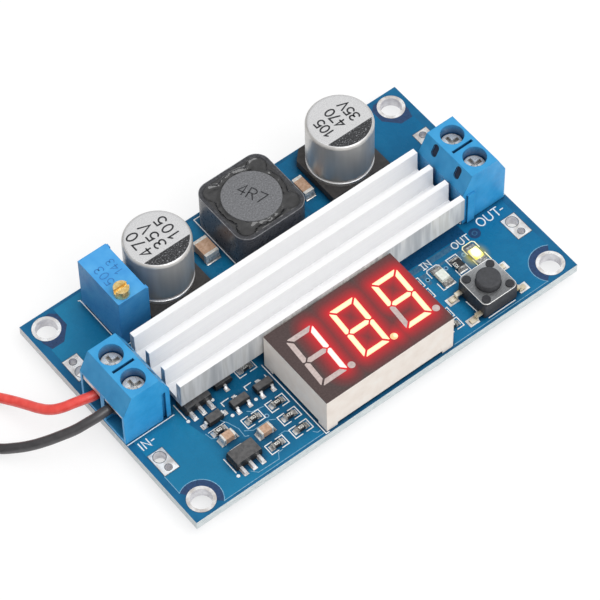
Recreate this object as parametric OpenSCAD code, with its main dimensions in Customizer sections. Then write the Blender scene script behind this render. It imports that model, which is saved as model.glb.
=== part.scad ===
// Boost converter module: a blue circuit board with a finned heatsink, screw terminals,
// a three-digit meter, a push button, a trimmer, and the power parts along the back edge.
// X runs from the input terminals to the output terminals, Y from the meter to the capacitors,
// and Z = 0 is the plane of the trimmed pin tips that the module stands on.

/* [Board] */
// Length of the board along X
board_l = 68; // [66:0.5:80]
// Width of the board along Y
board_w = 41; // [40:0.5:50]
// Thickness of the board
board_t = 1.6; // [1:0.1:2.4]
// Length of the trimmed pins below the board
pin_tail = 1.6; // [1.2:0.1:2.5]
// Thickness of the tinned pads
pad_t = 0.05; // [0.03:0.01:0.1]
// Distance of the mounting holes from the board's short edges
hole_inset_x = 2.8; // [2.4:0.1:3.2]
// Distance of the mounting holes from the board's long edges
hole_inset_y = 2.6; // [2.4:0.1:3.2]
// Diameter of the mounting holes
hole_d = 3.2; // [2.2:0.1:3.6]
// Width of the tinned ring round each mounting hole
ring_w = 0.5; // [0.3:0.05:0.7]
// Length of a solder pad for a wire, along Y
wire_pad_l = 4.1; // [3.8:0.1:5]
// Width of a solder pad for a wire, along X
wire_pad_w = 2.6; // [2.2:0.1:3]
// Distance of the wire pads' middle from the board's short edges
wire_pad_inset = 2.4; // [2:0.1:3]
// Distance of the wire pads' middle from the board's centre line
wire_pad_y = 9.9; // [9:0.1:11]
// Diameter of the large hole in a wire pad
wire_hole_d = 1.8; // [1.2:0.1:1.8]
// Diameter of the small hole in a wire pad
wire_via_d = 1; // [0.6:0.1:1.2]

/* [Heatsink] */
// Thickness of the base plate
sink_base_t = 1; // [0.8:0.1:1.6]
// Height of the fins above the base plate
fin_h = 3.8; // [3:0.1:6]
// Thickness of a fin at its root
fin_root_t = 1.05; // [0.9:0.05:1.4]
// Thickness of a fin at its tip
fin_tip_t = 0.85; // [0.5:0.05:0.9]
// Number of fins
fin_count = 4; // [3:1:6]
// Gap between the heatsink and the input terminal block
sink_in_gap = 0.95; // [0.5:0.05:2]
// Gap between the heatsink and the output terminal block
sink_out_gap = 0.55; // [0.4:0.05:2]
// Gap between the heatsink and the meter
sink_meter_gap = 0.3; // [0.2:0.05:1]
// Gap between the heatsink and the inductor
sink_back_gap = 2.2; // [0.5:0.1:3]
// Thickness of the thermal pad
thermal_t = 0.4; // [0.2:0.05:1]

/* [Terminal blocks] */
// Spacing of the two poles
pole_pitch = 5; // [4.9:0.02:6]
// Depth of a block from its wire side to its back
block_d = 7.8; // [7.4:0.1:8.4]
// Height of a block above the board
block_h = 10.1; // [9.6:0.1:11]
// Depth of the sloped shoulders, measured in from each side
shoulder_d = 1.55; // [1:0.05:1.8]
// Height of the sloped shoulders
shoulder_h = 3.3; // [2.6:0.1:3.4]
// Distance of the input block's wire side from the board's edge
in_block_edge = 0.05; // [0:0.05:1]
// Distance of the output block's wire side from the board's edge
out_block_edge = 0.4; // [0:0.05:1]
// Shift of the input block along Y
in_block_y = 0.5; // [-1:0.1:1]
// Shift of the output block along Y
out_block_y = 0.2; // [-1:0.1:1]
// Diameter of the screw wells
well_d = 3.5; // [3.4:0.1:3.7]
// Shift of the screws from the block's middle towards the wire side
well_shift = 0.2; // [0:0.05:0.3]
// Width of a wire entry
entry_w = 4.1; // [3.9:0.05:4.3]
// Thickness of the floor under the wire entries
entry_floor_t = 0.7; // [0.5:0.05:1]
// Diameter of a clamp screw's head
clamp_head_d = 3.2; // [2.8:0.1:3.3]
// Height of a clamp screw's head
clamp_head_h = 1.05; // [0.9:0.05:1.2]
// Diameter of a clamp screw's shank
clamp_shank_d = 2.4; // [2:0.1:2.5]
// Depth of a clamp along the wire
clamp_d = 3.5; // [3:0.1:3.6]
// Width of a clamp across the wire
clamp_w = 3.8; // [3.6:0.05:3.8]
// Thickness of a clamp's walls
clamp_t = 0.45; // [0.4:0.05:0.5]
// Way that a clamp can be lowered
clamp_travel = 1; // [0.6:0.1:1.4]
// Diameter of a terminal pin
terminal_pin_d = 1; // [0.8:0.05:1.1]

/* [Trimmer] */
// Place of the trimmer along X
trimmer_x = -22.15; // [-23:0.05:-21.8]
// Distance of the trimmer's middle from the board's back edge
trimmer_back = 6.8; // [6.2:0.1:7.4]
// Length of the trimmer along Y
trimmer_l = 9.53; // [9:0.01:10]
// Width of the trimmer along X
trimmer_w = 4.83; // [4.4:0.01:5]
// Height of the trimmer above the board
trimmer_h = 10; // [8:0.1:12]
// Diameter of the adjusting screw's head
adjuster_d = 2.3; // [2:0.05:2.5]
// Height of the adjusting screw above the trimmer
adjuster_h = 1.5; // [1:0.1:2]
// Spacing of the trimmer's pins
trimmer_pin_pitch = 2.54; // [2:0.02:3]

/* [Electrolytic capacitors] */
// Diameter of a can
can_d = 10; // [9:0.1:10.4]
// Height of a can's top above the board
can_h = 10.5; // [8:0.1:13]
// Side of the square base
base_side = 10.3; // [10.1:0.05:10.6]
// Thickness of the base
base_t = 1.5; // [1.2:0.1:2]
// Place of the input capacitor along X
in_can_x = -13.8; // [-14:0.05:-13.2]
// Place of the output capacitor along X
out_can_x = 18.8; // [18.4:0.05:20]
// Distance of the cans' middle from the board's back edge
can_back = 6.1; // [5.9:0.1:6.4]

/* [Inductor] */
// Side of the square shield
shield_side = 12; // [11.6:0.1:12.4]
// Height of the inductor above the board
inductor_h = 7; // [6:0.1:8]
// Corner radius of the shield
shield_r = 2.2; // [1.6:0.1:2.4]
// Diameter of the round opening in the shield
shield_bore_d = 10.5; // [10.3:0.05:10.7]
// Diameter of the drum's top flange
drum_d = 8.8; // [8:0.1:9.2]
// Place of the inductor along X
inductor_x = 2.4; // [2:0.05:2.8]
// Distance of the inductor's middle from the board's back edge
inductor_back = 6.6; // [6.4:0.1:6.8]

/* [Meter] */
// Length of the meter along X
meter_l = 22.5; // [22:0.1:23.4]
// Width of the meter along Y
meter_w = 14; // [13.6:0.1:14.2]
// Height of the meter's face above the board
meter_h = 7.1; // [6.5:0.1:8]
// Place of the meter's middle along X
meter_x = 0.15; // [-0.3:0.05:0.5]
// Distance of the meter from the board's front edge
meter_edge = 0.4; // [0:0.05:0.6]
// Height of a digit
digit_h = 9; // [8:0.1:9.2]
// Width of a digit
digit_w = 4.6; // [4:0.1:4.8]
// Spacing of the digits
digit_pitch = 7.5; // [7.2:0.05:7.5]
// Width of a segment
segment_w = 0.8; // [0.6:0.05:1]
// Lean of the digits in degrees
digit_lean = 4; // [2:1:8]

/* [Push button] */
// Side of the button's housing
button_side = 6; // [5.6:0.1:6.2]
// Height of the button's metal cover above the board
cover_h = 3.1; // [2.9:0.1:3.6]
// Height of the plunger above the cover
plunger_h = 1.2; // [0.7:0.1:4]
// Diameter of the plunger
plunger_d = 3.6; // [3:0.1:3.7]
// Way that the plunger can be pressed
plunger_travel = 0.25; // [0.2:0.05:0.3]
// Place of the button, as a share of the way from the meter to the board's edge
button_share = 0.416; // [0.4:0.002:0.46]
// Distance of the button's middle from the board's front edge
button_front = 4.1; // [4:0.1:4.4]

/* [Small parts] */
// Height of the power packages under the heatsink
power_h = 2.3; // [2:0.05:2.6]
// Height of the small transistors' bodies
sot_h = 1; // [0.9:0.05:1.2]
// Height of the regulators' bodies
regulator_h = 1.5; // [1.3:0.05:1.6]
// Height of the large ceramic capacitors
ceramic_h = 1.6; // [1.2:0.1:2.2]
// Height of the indicator lamps
lamp_h = 0.65; // [0.55:0.05:1]
// Spacing of the indicator lamps and the resistor between them
lamp_pitch = 3.07; // [2.6:0.01:3.6]

/* [Hidden] */

// Fineness of round features, of rounded corners, and of the large turned pieces
round_fn = 48;
corner_fn = 32;
turned_fn = 96;
// Overshoot of a cut past the face that it opens, and overlap that joins two shapes of one piece
cut = 0.5;
weld = 0.01;
// Clearances: sliding pieces, turning pieces, pins in their solder, and pins in the board
slide_gap = 0.1;
turn_gap = 0.05;
pin_gap = 0.02;
hole_gap = 0.3;

// Heights of the board's faces, and of the tops of the pads
board_z = pin_tail;
top_z = board_z + board_t;
seat_z = top_z + pad_t;
// Edges of the board
back_y = board_w / 2;
front_y = -board_w / 2;
side_x = board_l / 2;

// Standard sizes of the small parts: length, width and height
chip_s = [1.6, 0.8, 0.45];
chip_m = [2, 1.25, 1.1];
lamp_resistor = [2, 1.25, 0.55];
in_chip = [3.2, 2.3, ceramic_h];
out_chip = [3.2, 1.6, ceramic_h * 0.8];
lamp = [3.2, 1.6, lamp_h];
sot = [2.9, 1.3, sot_h];
signal_diode = [2.5, 1.5, sot_h];
regulator = [4.4, 2.4, regulator_h];
power_size = [6.6, 6.1, power_h];
controller_size = [3, 3, 0.9];

// Middles of the terminal blocks and the faces of their backs
in_block_x = -side_x + in_block_edge + block_d / 2;
out_block_x = side_x - out_block_edge - block_d / 2;
in_block_back = in_block_x + block_d / 2;
out_block_back = out_block_x - block_d / 2;

// Middle of the meter and its edges
meter_y = front_y + meter_edge + meter_w / 2;
meter_left = meter_x - meter_l / 2;
meter_right = meter_x + meter_l / 2;
meter_back = meter_y + meter_w / 2;

// Back row, from the board's back edge, and the button at the front
can_y = back_y - can_back;
inductor_y = back_y - inductor_back;
trimmer_y = back_y - trimmer_back;
button_x = meter_right + button_share * (side_x - meter_right);
button_y = front_y + button_front;

// Heatsink between the two blocks, and between the meter and the inductor, on the power packages
sink_x0 = in_block_back + sink_in_gap;
sink_l = out_block_back - sink_out_gap - sink_x0;
sink_w = inductor_y - shield_side / 2 - sink_back_gap - meter_back - sink_meter_gap;
sink_y = meter_back + sink_meter_gap + sink_w / 2;
sink_z = seat_z + power_h + thermal_t;
fin_pitch = (sink_w - fin_root_t) / (fin_count - 1);

// Columns left of the meter, as shares of the way from the meter to the input block
near_chips = 0.166;
near_sot = 0.16;
middle_chips = 0.445;
middle_sot = 0.435;
far_diode = 0.728;
far_parts = 0.755;
far_chip = 0.767;
// Rows of the small parts, from the board's front edge, and the column right of the meter
row_a = 3;
row_b = 5.6;
row_c = 8.35;
row_d = 11.6;
row_e = 15.65;
low_regulator_row = 4.3;
far_ceramic_row = 8;
far_chip_row = 9.7;
right_column = 2;
right_row_b = 5.1;
right_row_c = 9.3;
function left_field(share, up) = [meter_left - share * (meter_left - in_block_back), front_y + up];
function right_field(up) = [meter_right + right_column, front_y + up];
small_resistors = [
    left_field(near_chips, row_a), left_field(near_chips, row_b), left_field(near_chips, row_c),
    left_field(near_chips, row_e), left_field(middle_chips, row_a), left_field(middle_chips, row_c),
    left_field(far_chip, far_chip_row),
    right_field(row_a), right_field(right_row_b), right_field(right_row_c), right_field(row_d)
];
small_ceramics = [left_field(middle_chips, row_b), left_field(far_parts, far_ceramic_row)];
transistors = [left_field(middle_sot, row_d), left_field(near_sot, row_d)];
turned_transistor = left_field(middle_sot, row_e);
diode_place = left_field(far_diode, row_d);
regulators = [left_field(far_parts, low_regulator_row), left_field(far_parts, row_e)];
// Rows of the indicator lamps and of the resistor between them, behind the button
lamp_row = 10.35;
lamp_resistor_row = 10.5;
lamp_y = front_y + lamp_row;
lamp_resistor_y = front_y + lamp_resistor_row;
in_lamp_x = button_x - lamp_pitch;
out_lamp_x = button_x + lamp_pitch;
// Ceramic capacitors on both sides of the inductor
in_ceramic_gap = 2.15;
out_ceramic_gap = 3.45;
ceramic_shift = 0.15;
in_ceramic = [inductor_x - shield_side / 2 - in_ceramic_gap, can_y - ceramic_shift];
out_ceramic = [inductor_x + shield_side / 2 + out_ceramic_gap, can_y - ceramic_shift];
// Power packages and the controller under the heatsink, with the packages' leads towards it
mosfet_x = -9.5;
diode_x = 9.5;
controller_shift = 1.5;
controller_place = [0, sink_y - controller_shift];

// Ends and solder lands of the chip parts
chip_end = 0.3;
large_end = 0.5;
chip_land = 0.45;
land_margin = 0.05;
lamp_end = 0.65;
lamp_land = 0.15;
lamp_base_h = 0.45 * lamp_h;
lens_slope = 0.12;
lens_side = 0.1;

// Solder cones under the board
joint_h = 1;
joint_w = 0.75;
joint_tip_w = 0.15;

// Wire pads: the large hole is nearer the terminal block, the small one nearer the corner
wire_hole_shift = -0.9;
wire_via_shift = 1.15;

// Thermal pad, power packages and controller
thermal_margin = 0.4;
power_draft = 0.15;
power_tab = [5.4, 1.1, 0.5];
power_tab_land = [5.8, 4.6];
power_tab_land_shift = -1.2;
power_lead = [2.4, 0.8, 0.5];
power_lead_foot = 1;
power_lead_rise = 0.9;
power_lead_pitch = 4.56;
power_lead_land = [1.1, 1.3];
controller_draft = 0.1;
controller_stand = 0.05;
controller_pins = 5;
controller_pitch = 0.5;
controller_lead = [0.95, 0.22, 0.12];
controller_foot = 0.45;
controller_land = [0.26, 0.8];

// Leads of the transistors, the signal diode and the regulators: reach, width and thickness
sot_draft = 0.1;
sot_stand = 0.08;
sot_pitch = 1.9;
sot_lead = [0.65, 0.42, 0.14];
sot_foot = 0.35;
sot_land = [0.67, 0.8];
sot_rise = sot_stand + sot_h / 2 - sot_lead[2] / 2;
diode_lead_w = 0.6;
diode_land = [0.9, 0.8];
regulator_draft = 0.12;
regulator_waist = 0.6;
regulator_pitch = 1.5;
regulator_lead = [0.45, 1.1, 0.4];
regulator_lead_land = [0.75, 1.4];
regulator_tab = [1.7, 0.6, 0.4];
regulator_tab_land = [2, 2];

// Terminal blocks: levels above the board, and places along the wire from the block's middle
block_w = 2 * pole_pitch;
pole_y = pole_pitch / 2;
shoulder_z = block_h - shoulder_h;
lintel_t = 0.4;
entry_top = shoulder_z - lintel_t;
conductor_d = 1;
contact_t = 0.5;
contact_z = 4.6;
contact_gap = 0.2;
clamp_inner_w = clamp_w - 2 * clamp_t;
clamp_floor_z = contact_z - conductor_d - turn_gap;
clamp_roof_z = contact_z + contact_t + clamp_travel + slide_gap;
chamber_top = clamp_roof_z + clamp_t + turn_gap;
ledge_t = 0.4;
well_z = chamber_top + ledge_t;
clamp_head_z = well_z + turn_gap;
chamber_front = -well_shift - clamp_d / 2 - slide_gap;
contact_front = chamber_front + slide_gap;
contact_back = clamp_d / 2 - well_shift + contact_gap + contact_t;
chamber_back = contact_back + slide_gap;
terminal_pin_x = contact_back - contact_t / 2;
cross_w = 0.6;
cross_t = 0.6;
cross_margin = 0.35;
key_w = 0.65;
key_t = 0.45;
key_inset = 0.7;
key_reach = 0.3;
key_h = entry_top;
top_slot = [3.6, 0.45, 0.8];
probe_slot_l = 2;
probe_slot_w = 0.8;
probe_slot_t = 1;
probe_slot_rise = 0.5;

// Trimmer
adjuster_shift = 0.85;
adjuster_edge = 1.35;
adjuster_x = trimmer_x - adjuster_shift;
adjuster_y = trimmer_y - trimmer_l / 2 + adjuster_edge;
adjuster_shank_d = 1.6;
adjuster_shank_l = 3;
adjuster_slot = [0.5, 0.65];
trimmer_foot = [0.8, 0.4];
trimmer_rib = [0.3, 0.7];
trimmer_rib_drop = 0.3;
trimmer_pin_d = 0.5;

// Electrolytic capacitors
can_seat = 0.25;
can_foot_inset = 0.4;
can_edge_r = 0.6;
can_edge_steps = 6;
bead_z = 0.95;
bead_r = 0.42;
bead_out = 0.12;
bead_steps = 8;
bead_half = 74;
base_cut = 1.6;
base_stand = 0.2;
can_lead_w = 1;
can_lead_from = 1.6;
can_lead_out = 0.4;
can_land = [1.8, 3.6];
can_land_inset = 1.2;

// Inductor
plate_t = 0.3;
plate_l = 2.6;
plate_w = 5;
plate_up = 1.4;
plate_land_edge = 0.1;
plate_land_out = min(0.4, inductor_back - shield_side / 2 - plate_t - plate_land_edge);
plate_land_w = 5.4;
shield_drop = 0.12;
lip_gap = 0.1;
pocket_d = 3;
pocket_out = 0.1;
drum_core_d = 5;
drum_foot_d = 9.5;
drum_flange_t = 1.1;
winding_inset = 0.15;

// Push button
cover_t = 0.2;
cover_r = 0.8;
housing_r = 0.3;
button_stand = 0.1;
post_d = 1.25;
post_reach = 0.16;
post_inset = 0.85;
cup_d = 4.7;
cup_z = 1.1;
flange_d = 4.4;
flange_t = 0.5;
plunger_edge = 0.15;
nub_d = 1.3;
dome_t = 0.1;
dome_rise = 0.55;
dome_inset = 0.2;
dome_fn = 64;
button_lead = [2, 0.75, 0.2];
button_lead_foot = 1;
button_lead_rise = 0.7;
button_lead_inset = 0.75;
button_land = [1.7, 1.35];
button_land_in = 0.4;
lip_z = cover_h - cover_t;
post_at = button_side / 2 - post_inset;

// Meter
face_t = 0.12;
meter_foot_h = 0.6;
meter_foot_l = 1.9;
meter_pin_d = 0.5;
meter_pin_rows = 10.16;
meter_pin_pitch = 2.54;
meter_pins_per_row = 6;
digit_shift = 0.1;
segment_gap = 0.22;
segment_nip = 0.16;
point_d = 1.1;
point_gap = 0.2;
point_up = 0.3;
// Segments lit on each digit, in the order top, upper right, lower right, bottom,
// lower left, upper left, middle, point
lit = [
    [0, 1, 1, 0, 0, 0, 0, 0],
    [1, 1, 1, 1, 1, 1, 1, 1],
    [1, 1, 1, 1, 0, 1, 1, 0]
];

// Input leads: diameter, and the points of their routes, chosen by hand
lead_d = 1.5;
lead_r = lead_d / 2;
lead_sides = 8;
lead_in = 1.55;
red_shift = 0.5;
conductor_l = 3.4;
red_points = [
    [-32.4, 2.5, 7.3], [-34, 2.5, 7.3], [-35.4, 2.9, 7.2], [-36.8, 3.5, 6.8], [-38.2, 4.3, 6.1],
    [-39.4, 5.5, 5.3], [-40.2, 7.1, 4.5], [-40.8, 9, 3.6], [-41.6, 11.3, 2.6], [-42.8, 13.8, 1.7],
    [-44.6, 16.4, 1], [-47, 19, lead_r], [-50, 21.7, lead_r], [-53.2, 24.6, lead_r],
    [-56.3, 28.5, lead_r]
];
black_points = [
    [-32.4, -1.1, 7.3], [-32.9, -1.1, 7.3], [-33.7, -1.1, 8.1], [-34.9, -1.1, 8.2], [-36.2, -1, 8],
    [-37.5, -0.7, 7.6], [-39, -0.2, 6.9], [-40.8, 0.8, 5.9], [-42.7, 2, 4.8], [-44.5, 3.4, 3.7],
    [-46.1, 5, 2.7], [-47.6, 6.9, 1.7], [-48.7, 9.3, 1], [-49.5, 11.9, lead_r], [-50.3, 14.6, lead_r],
    [-51.3, 17.6, lead_r]
];
red_coil = [-46, 33];
black_coil = [-61, 12];
coil_inner_r = 8.3;
coil_outer_r = 12;
// Where the insulation ends inside the wire entries, and the routes led to there
lead_x = in_block_x - block_d / 2 + lead_in;
lead_z = top_z + contact_z - conductor_d / 2;
lead_lean = clamp_inner_w / 2 - conductor_d / 2 - turn_gap;
red_route = led(red_points, [lead_x, in_block_y + pole_y - red_shift, lead_z]);
black_route = led(black_points, [lead_x, in_block_y - pole_y + lead_lean, lead_z]);
function led(points, head) = let (last = len(points) - 1) [
    for (i = [0:last]) points[i] + (head - points[0]) * min(1, (last - i) / (last - 1))
];

// Shared shapes

// Outline of a moulded body's side: widest at its parting line
module drafted_profile(width, h, draft) {
    half = width / 2;
    polygon([
        [-half + draft, 0], [half - draft, 0], [half, h / 2],
        [half - draft, h], [-half + draft, h], [-half, h / 2]
    ]);
}

// Moulded body with draft on all four sides
module moulded_body(size, draft) {
    intersection() {
        rotate([90, 0, 0]) linear_extrude(size[1], center = true)
            drafted_profile(size[0], size[2], draft);
        rotate([90, 0, 90]) linear_extrude(size[0], center = true)
            drafted_profile(size[1], size[2], draft);
    }
}

// Bent lead of a given reach, width and thickness: out of the body in +X, down, and along the pad
module bent_lead(lead, rise, foot) {
    reach = lead[0];
    t = lead[2];
    bend = reach - foot;
    rotate([90, 0, 0]) linear_extrude(lead[1], center = true) polygon([
        [0, rise], [bend - t, rise], [bend - t, 0], [reach, 0],
        [reach, t], [bend, t], [bend, rise + t], [0, rise + t]
    ]);
}

// Chip part, length along X: the body, its two end caps, and the two lands under them
module chip_body(size, end) {
    translate([0, 0, size[2] / 2]) cube([size[0] - 2 * end, size[1], size[2]], center = true);
}
module chip_ends(size, end) {
    for (side = [-1, 1]) {
        translate([side * (size[0] - end) / 2, 0, size[2] / 2])
            cube([end, size[1], size[2]], center = true);
    }
}
module chip_lands(size, end, land) {
    for (side = [-1, 1]) {
        rect_land(side * (size[0] - end + land) / 2, 0, [end + land, size[1] + 2 * land_margin]);
    }
}

// Tinned land of a given size, its middle at x, y
module rect_land(x, y, size) {
    translate([x - size[0] / 2, y - size[1] / 2, 0]) cube([size[0], size[1], pad_t]);
}

// Square outline with rounded corners
module rounded_square(side, r) {
    flat = side - 2 * r;
    square([flat, side], center = true);
    square([side, flat], center = true);
    for (sx = [-1, 1], sy = [-1, 1]) translate([sx * flat / 2, sy * flat / 2]) circle(r, $fn = corner_fn);
}

// Hole through a plate that lies on Z = 0
module through(d, h) {
    translate([0, 0, -cut]) cylinder(d = d, h = h + 2 * cut, $fn = round_fn);
}

// Points of an arc, for turned outlines
function arc(x, y, r, from, to, steps) = [
    for (k = [0:steps]) let (a = from + (to - from) * k / steps) [x + r * cos(a), y + r * sin(a)]
];

// Tube swept along a route: a ring at each point, square to the way there
function way(route, i) = let (
    a = route[max(i - 1, 0)], b = route[min(i + 1, len(route) - 1)], d = b - a
) d / norm(d);
function aside(d) = let (s = cross([0, 0, 1], d)) s / norm(s);

module route_tube(route, d, sides) {
    rings = len(route);
    points = [
        for (i = [0:rings - 1], k = [0:sides - 1]) let (
            along = way(route, i), u = aside(along), v = cross(along, u), a = 360 * k / sides
        ) route[i] + d / 2 * (cos(a) * u + sin(a) * v)
    ];
    walls = [
        for (i = [0:rings - 2], k = [0:sides - 1]) let (
            n = (k + 1) % sides, p = i * sides + k, q = i * sides + n
        ) each [[p, p + sides, q + sides], [p, q + sides, q]]
    ];
    start = [for (k = [0:sides - 1]) k];
    end = [for (k = [sides - 1:-1:0]) (rings - 1) * sides + k];
    polyhedron(points, concat([start, end], walls));
}

// Board and its metal

function mount_places() = [
    for (sx = [-1, 1], sy = [-1, 1]) [sx * (side_x - hole_inset_x), sy * (back_y - hole_inset_y)]
];
function wire_pad_places() = [
    for (sx = [-1, 1], sy = [-1, 1]) [sx * (side_x - wire_pad_inset), sy * wire_pad_y, sy]
];
function terminal_pin_places() = concat(
    [for (s = [-1, 1]) [in_block_x + terminal_pin_x, in_block_y + s * pole_y]],
    [for (s = [-1, 1]) [out_block_x - terminal_pin_x, out_block_y + s * pole_y]]
);
function trimmer_pin_places() = [
    for (s = [-1, 0, 1]) [trimmer_x, trimmer_y + s * trimmer_pin_pitch]
];
function meter_pin_places() = [
    for (row = [-1, 1], k = [0:meter_pins_per_row - 1]) [
        meter_x + (k - (meter_pins_per_row - 1) / 2) * meter_pin_pitch,
        meter_y + row * meter_pin_rows / 2
    ]
];
// Every pin through the board, with its diameter
function all_pins() = concat(
    [for (p = terminal_pin_places()) [p, terminal_pin_d]],
    [for (p = trimmer_pin_places()) [p, trimmer_pin_d]],
    [for (p = meter_pin_places()) [p, meter_pin_d]]
);

module pcb() {
    color([0.12, 0.4, 0.6]) translate([0, 0, board_z]) difference() {
        translate([-side_x, front_y, 0]) cube([board_l, board_w, board_t]);
        for (p = mount_places()) translate(p) through(hole_d, board_t);
        for (p = wire_pad_places()) translate([p[0], p[1], 0]) wire_holes(p[2], board_t);
        for (p = all_pins()) translate(p[0]) through(p[1] + hole_gap, board_t);
    }
}

module wire_holes(side, h) {
    translate([0, side * wire_hole_shift, 0]) through(wire_hole_d, h);
    translate([0, side * wire_via_shift, 0]) through(wire_via_d, h);
}

module mount_ring() {
    difference() {
        cylinder(d = hole_d + 2 * ring_w, h = pad_t, $fn = round_fn);
        through(hole_d, pad_t);
    }
}

module wire_pad(side) {
    difference() {
        rect_land(0, 0, [wire_pad_w, wire_pad_l]);
        wire_holes(side, pad_t);
    }
}

module tinned_pads() {
    color([0.82, 0.82, 0.83]) {
        for (z = [top_z, board_z - pad_t]) translate([0, 0, z]) {
            for (p = mount_places()) translate(p) mount_ring();
            for (p = wire_pad_places()) translate([p[0], p[1], 0]) wire_pad(p[2]);
        }
        translate([0, 0, top_z]) {
            for (p = small_resistors) translate(p) chip_lands(chip_s, chip_end, chip_land);
            for (p = small_ceramics) translate(p) chip_lands(chip_m, chip_end, chip_land);
            for (x = [in_lamp_x, out_lamp_x]) {
                translate([x, lamp_y, 0]) rotate(90) chip_lands(lamp, lamp_end, lamp_land);
            }
            translate([button_x, lamp_resistor_y, 0]) rotate(90) chip_lands(lamp_resistor, chip_end, chip_land);
            translate(in_ceramic) rotate(90) chip_lands(in_chip, large_end, chip_land);
            translate(out_ceramic) rotate(90) chip_lands(out_chip, large_end, chip_land);
            for (p = transistors) translate(p) transistor_lands();
            translate(turned_transistor) rotate(180) transistor_lands();
            translate(diode_place) signal_diode_lands();
            for (p = regulators) translate(p) regulator_lands();
            for (x = [in_can_x, out_can_x]) translate([x, can_y, 0]) can_lands();
            translate([inductor_x, inductor_y, 0]) inductor_lands();
            translate([button_x, button_y, 0]) button_lands();
            at_mosfet() power_lands();
            at_diode() power_lands();
            translate(controller_place) controller_lands();
        }
    }
}

// Cone of solder round each pin under the board
module solder_joints() {
    color([0.75, 0.75, 0.76]) for (p = all_pins()) {
        translate([p[0][0], p[0][1], board_z]) mirror([0, 0, 1]) difference() {
            cylinder(d1 = p[1] + 2 * joint_w, d2 = p[1] + 2 * joint_tip_w, h = joint_h, $fn = round_fn);
            through(p[1] + 2 * pin_gap, joint_h);
        }
    }
}

// Heatsink and the power parts below it

// Base plate with tapered fins; the outer faces of the first and last fins are upright
module sink_profile() {
    translate([-sink_w / 2, 0]) square([sink_w, sink_base_t]);
    for (k = [0:fin_count - 1]) {
        left_tip = k == 0 ? fin_root_t : fin_tip_t;
        right_tip = k == fin_count - 1 ? fin_root_t : fin_tip_t;
        translate([(k - (fin_count - 1) / 2) * fin_pitch, sink_base_t]) polygon([
            [-fin_root_t / 2, -weld], [fin_root_t / 2, -weld],
            [right_tip / 2, fin_h], [-left_tip / 2, fin_h]
        ]);
    }
}

module heatsink() {
    color([0.9, 0.91, 0.92]) translate([sink_x0, sink_y, sink_z])
        rotate([90, 0, 90]) linear_extrude(sink_l) sink_profile();
}

module thermal_pad() {
    pad_x0 = mosfet_x - power_size[1] / 2 - thermal_margin;
    pad_l = diode_x - mosfet_x + power_size[1] + 2 * thermal_margin;
    pad_w = power_size[0] + 2 * thermal_margin;
    color([0.2, 0.2, 0.22]) translate([pad_x0, sink_y - pad_w / 2, sink_z - thermal_t])
        cube([pad_l, pad_w, thermal_t]);
}

// Places of the two power packages, turned so that their leads face the controller
module at_mosfet() {
    translate([mosfet_x, sink_y, 0]) rotate(90) children();
}
module at_diode() {
    translate([diode_x, sink_y, 0]) rotate(-90) children();
}

// Tab at +Y and two bent leads at -Y
module power_leadframe() {
    edge = power_size[1] / 2;
    translate([-power_tab[0] / 2, edge, 0]) cube(power_tab);
    for (s = [-1, 1]) {
        translate([s * power_lead_pitch / 2, -edge, 0]) rotate(-90)
            bent_lead(power_lead, power_lead_rise, power_lead_foot);
    }
}
module power_lands() {
    edge = power_size[1] / 2;
    rect_land(0, edge + power_tab_land_shift, power_tab_land);
    for (s = [-1, 1]) {
        rect_land(s * power_lead_pitch / 2, power_lead_foot / 2 - edge - power_lead[0], power_lead_land);
    }
}

module mosfet_body() {
    color([0.13, 0.13, 0.14]) at_mosfet() translate([0, 0, seat_z])
        moulded_body(power_size, power_draft);
}
module mosfet_leadframe() {
    color([0.75, 0.75, 0.76]) at_mosfet() translate([0, 0, seat_z]) power_leadframe();
}
module diode_body() {
    color([0.13, 0.13, 0.14]) at_diode() translate([0, 0, seat_z])
        moulded_body(power_size, power_draft);
}
module diode_leadframe() {
    color([0.75, 0.75, 0.76]) at_diode() translate([0, 0, seat_z]) power_leadframe();
}

module controller_body() {
    color([0.13, 0.13, 0.14]) translate([0, 0, seat_z + controller_stand]) translate(controller_place)
        moulded_body(controller_size, controller_draft);
}
function controller_columns() = [
    for (k = [0:controller_pins - 1]) (k - (controller_pins - 1) / 2) * controller_pitch
];
module controller_leads() {
    rise = controller_stand + controller_size[2] / 2 - controller_lead[2] / 2;
    color([0.75, 0.75, 0.76]) translate([0, 0, seat_z]) translate(controller_place)
        for (x = controller_columns(), side = [-1, 1]) {
            translate([x, side * controller_size[1] / 2, 0]) rotate(side * 90)
                bent_lead(controller_lead, rise, controller_foot);
        }
}
module controller_lands() {
    tip = controller_size[1] / 2 + controller_lead[0];
    for (x = controller_columns(), side = [-1, 1]) {
        rect_land(x, side * (tip - controller_foot / 2), controller_land);
    }
}

// Terminal blocks, drawn with the wire side at -X and Z = 0 on the board

module block_profile() {
    half = block_d / 2;
    polygon([
        [-half, 0], [half, 0], [half, shoulder_z], [half - shoulder_d, block_h],
        [-half + shoulder_d, block_h], [-half, shoulder_z]
    ]);
}

module terminal_housing() {
    key_x = block_d / 2 - key_inset;
    color([0.25, 0.58, 0.85]) difference() {
        union() {
            rotate([90, 0, 0]) linear_extrude(block_w, center = true) block_profile();
            // Key rib on one side, for ganging blocks
            translate([key_x - 2 * key_w, block_w / 2 - weld, 0])
                cube([2 * key_w, key_reach + weld, key_h]);
        }
        for (s = [-1, 1]) translate([0, s * pole_y, 0]) pole_cut();
        // Key groove on the other side
        translate([key_x - key_w, -block_w / 2 - cut, -cut]) cube([key_w, key_t + cut, key_h + cut]);
        translate([-top_slot[0] / 2, -top_slot[1] / 2, block_h - top_slot[2]])
            cube([top_slot[0], top_slot[1], top_slot[2] + cut]);
    }
}

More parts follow.
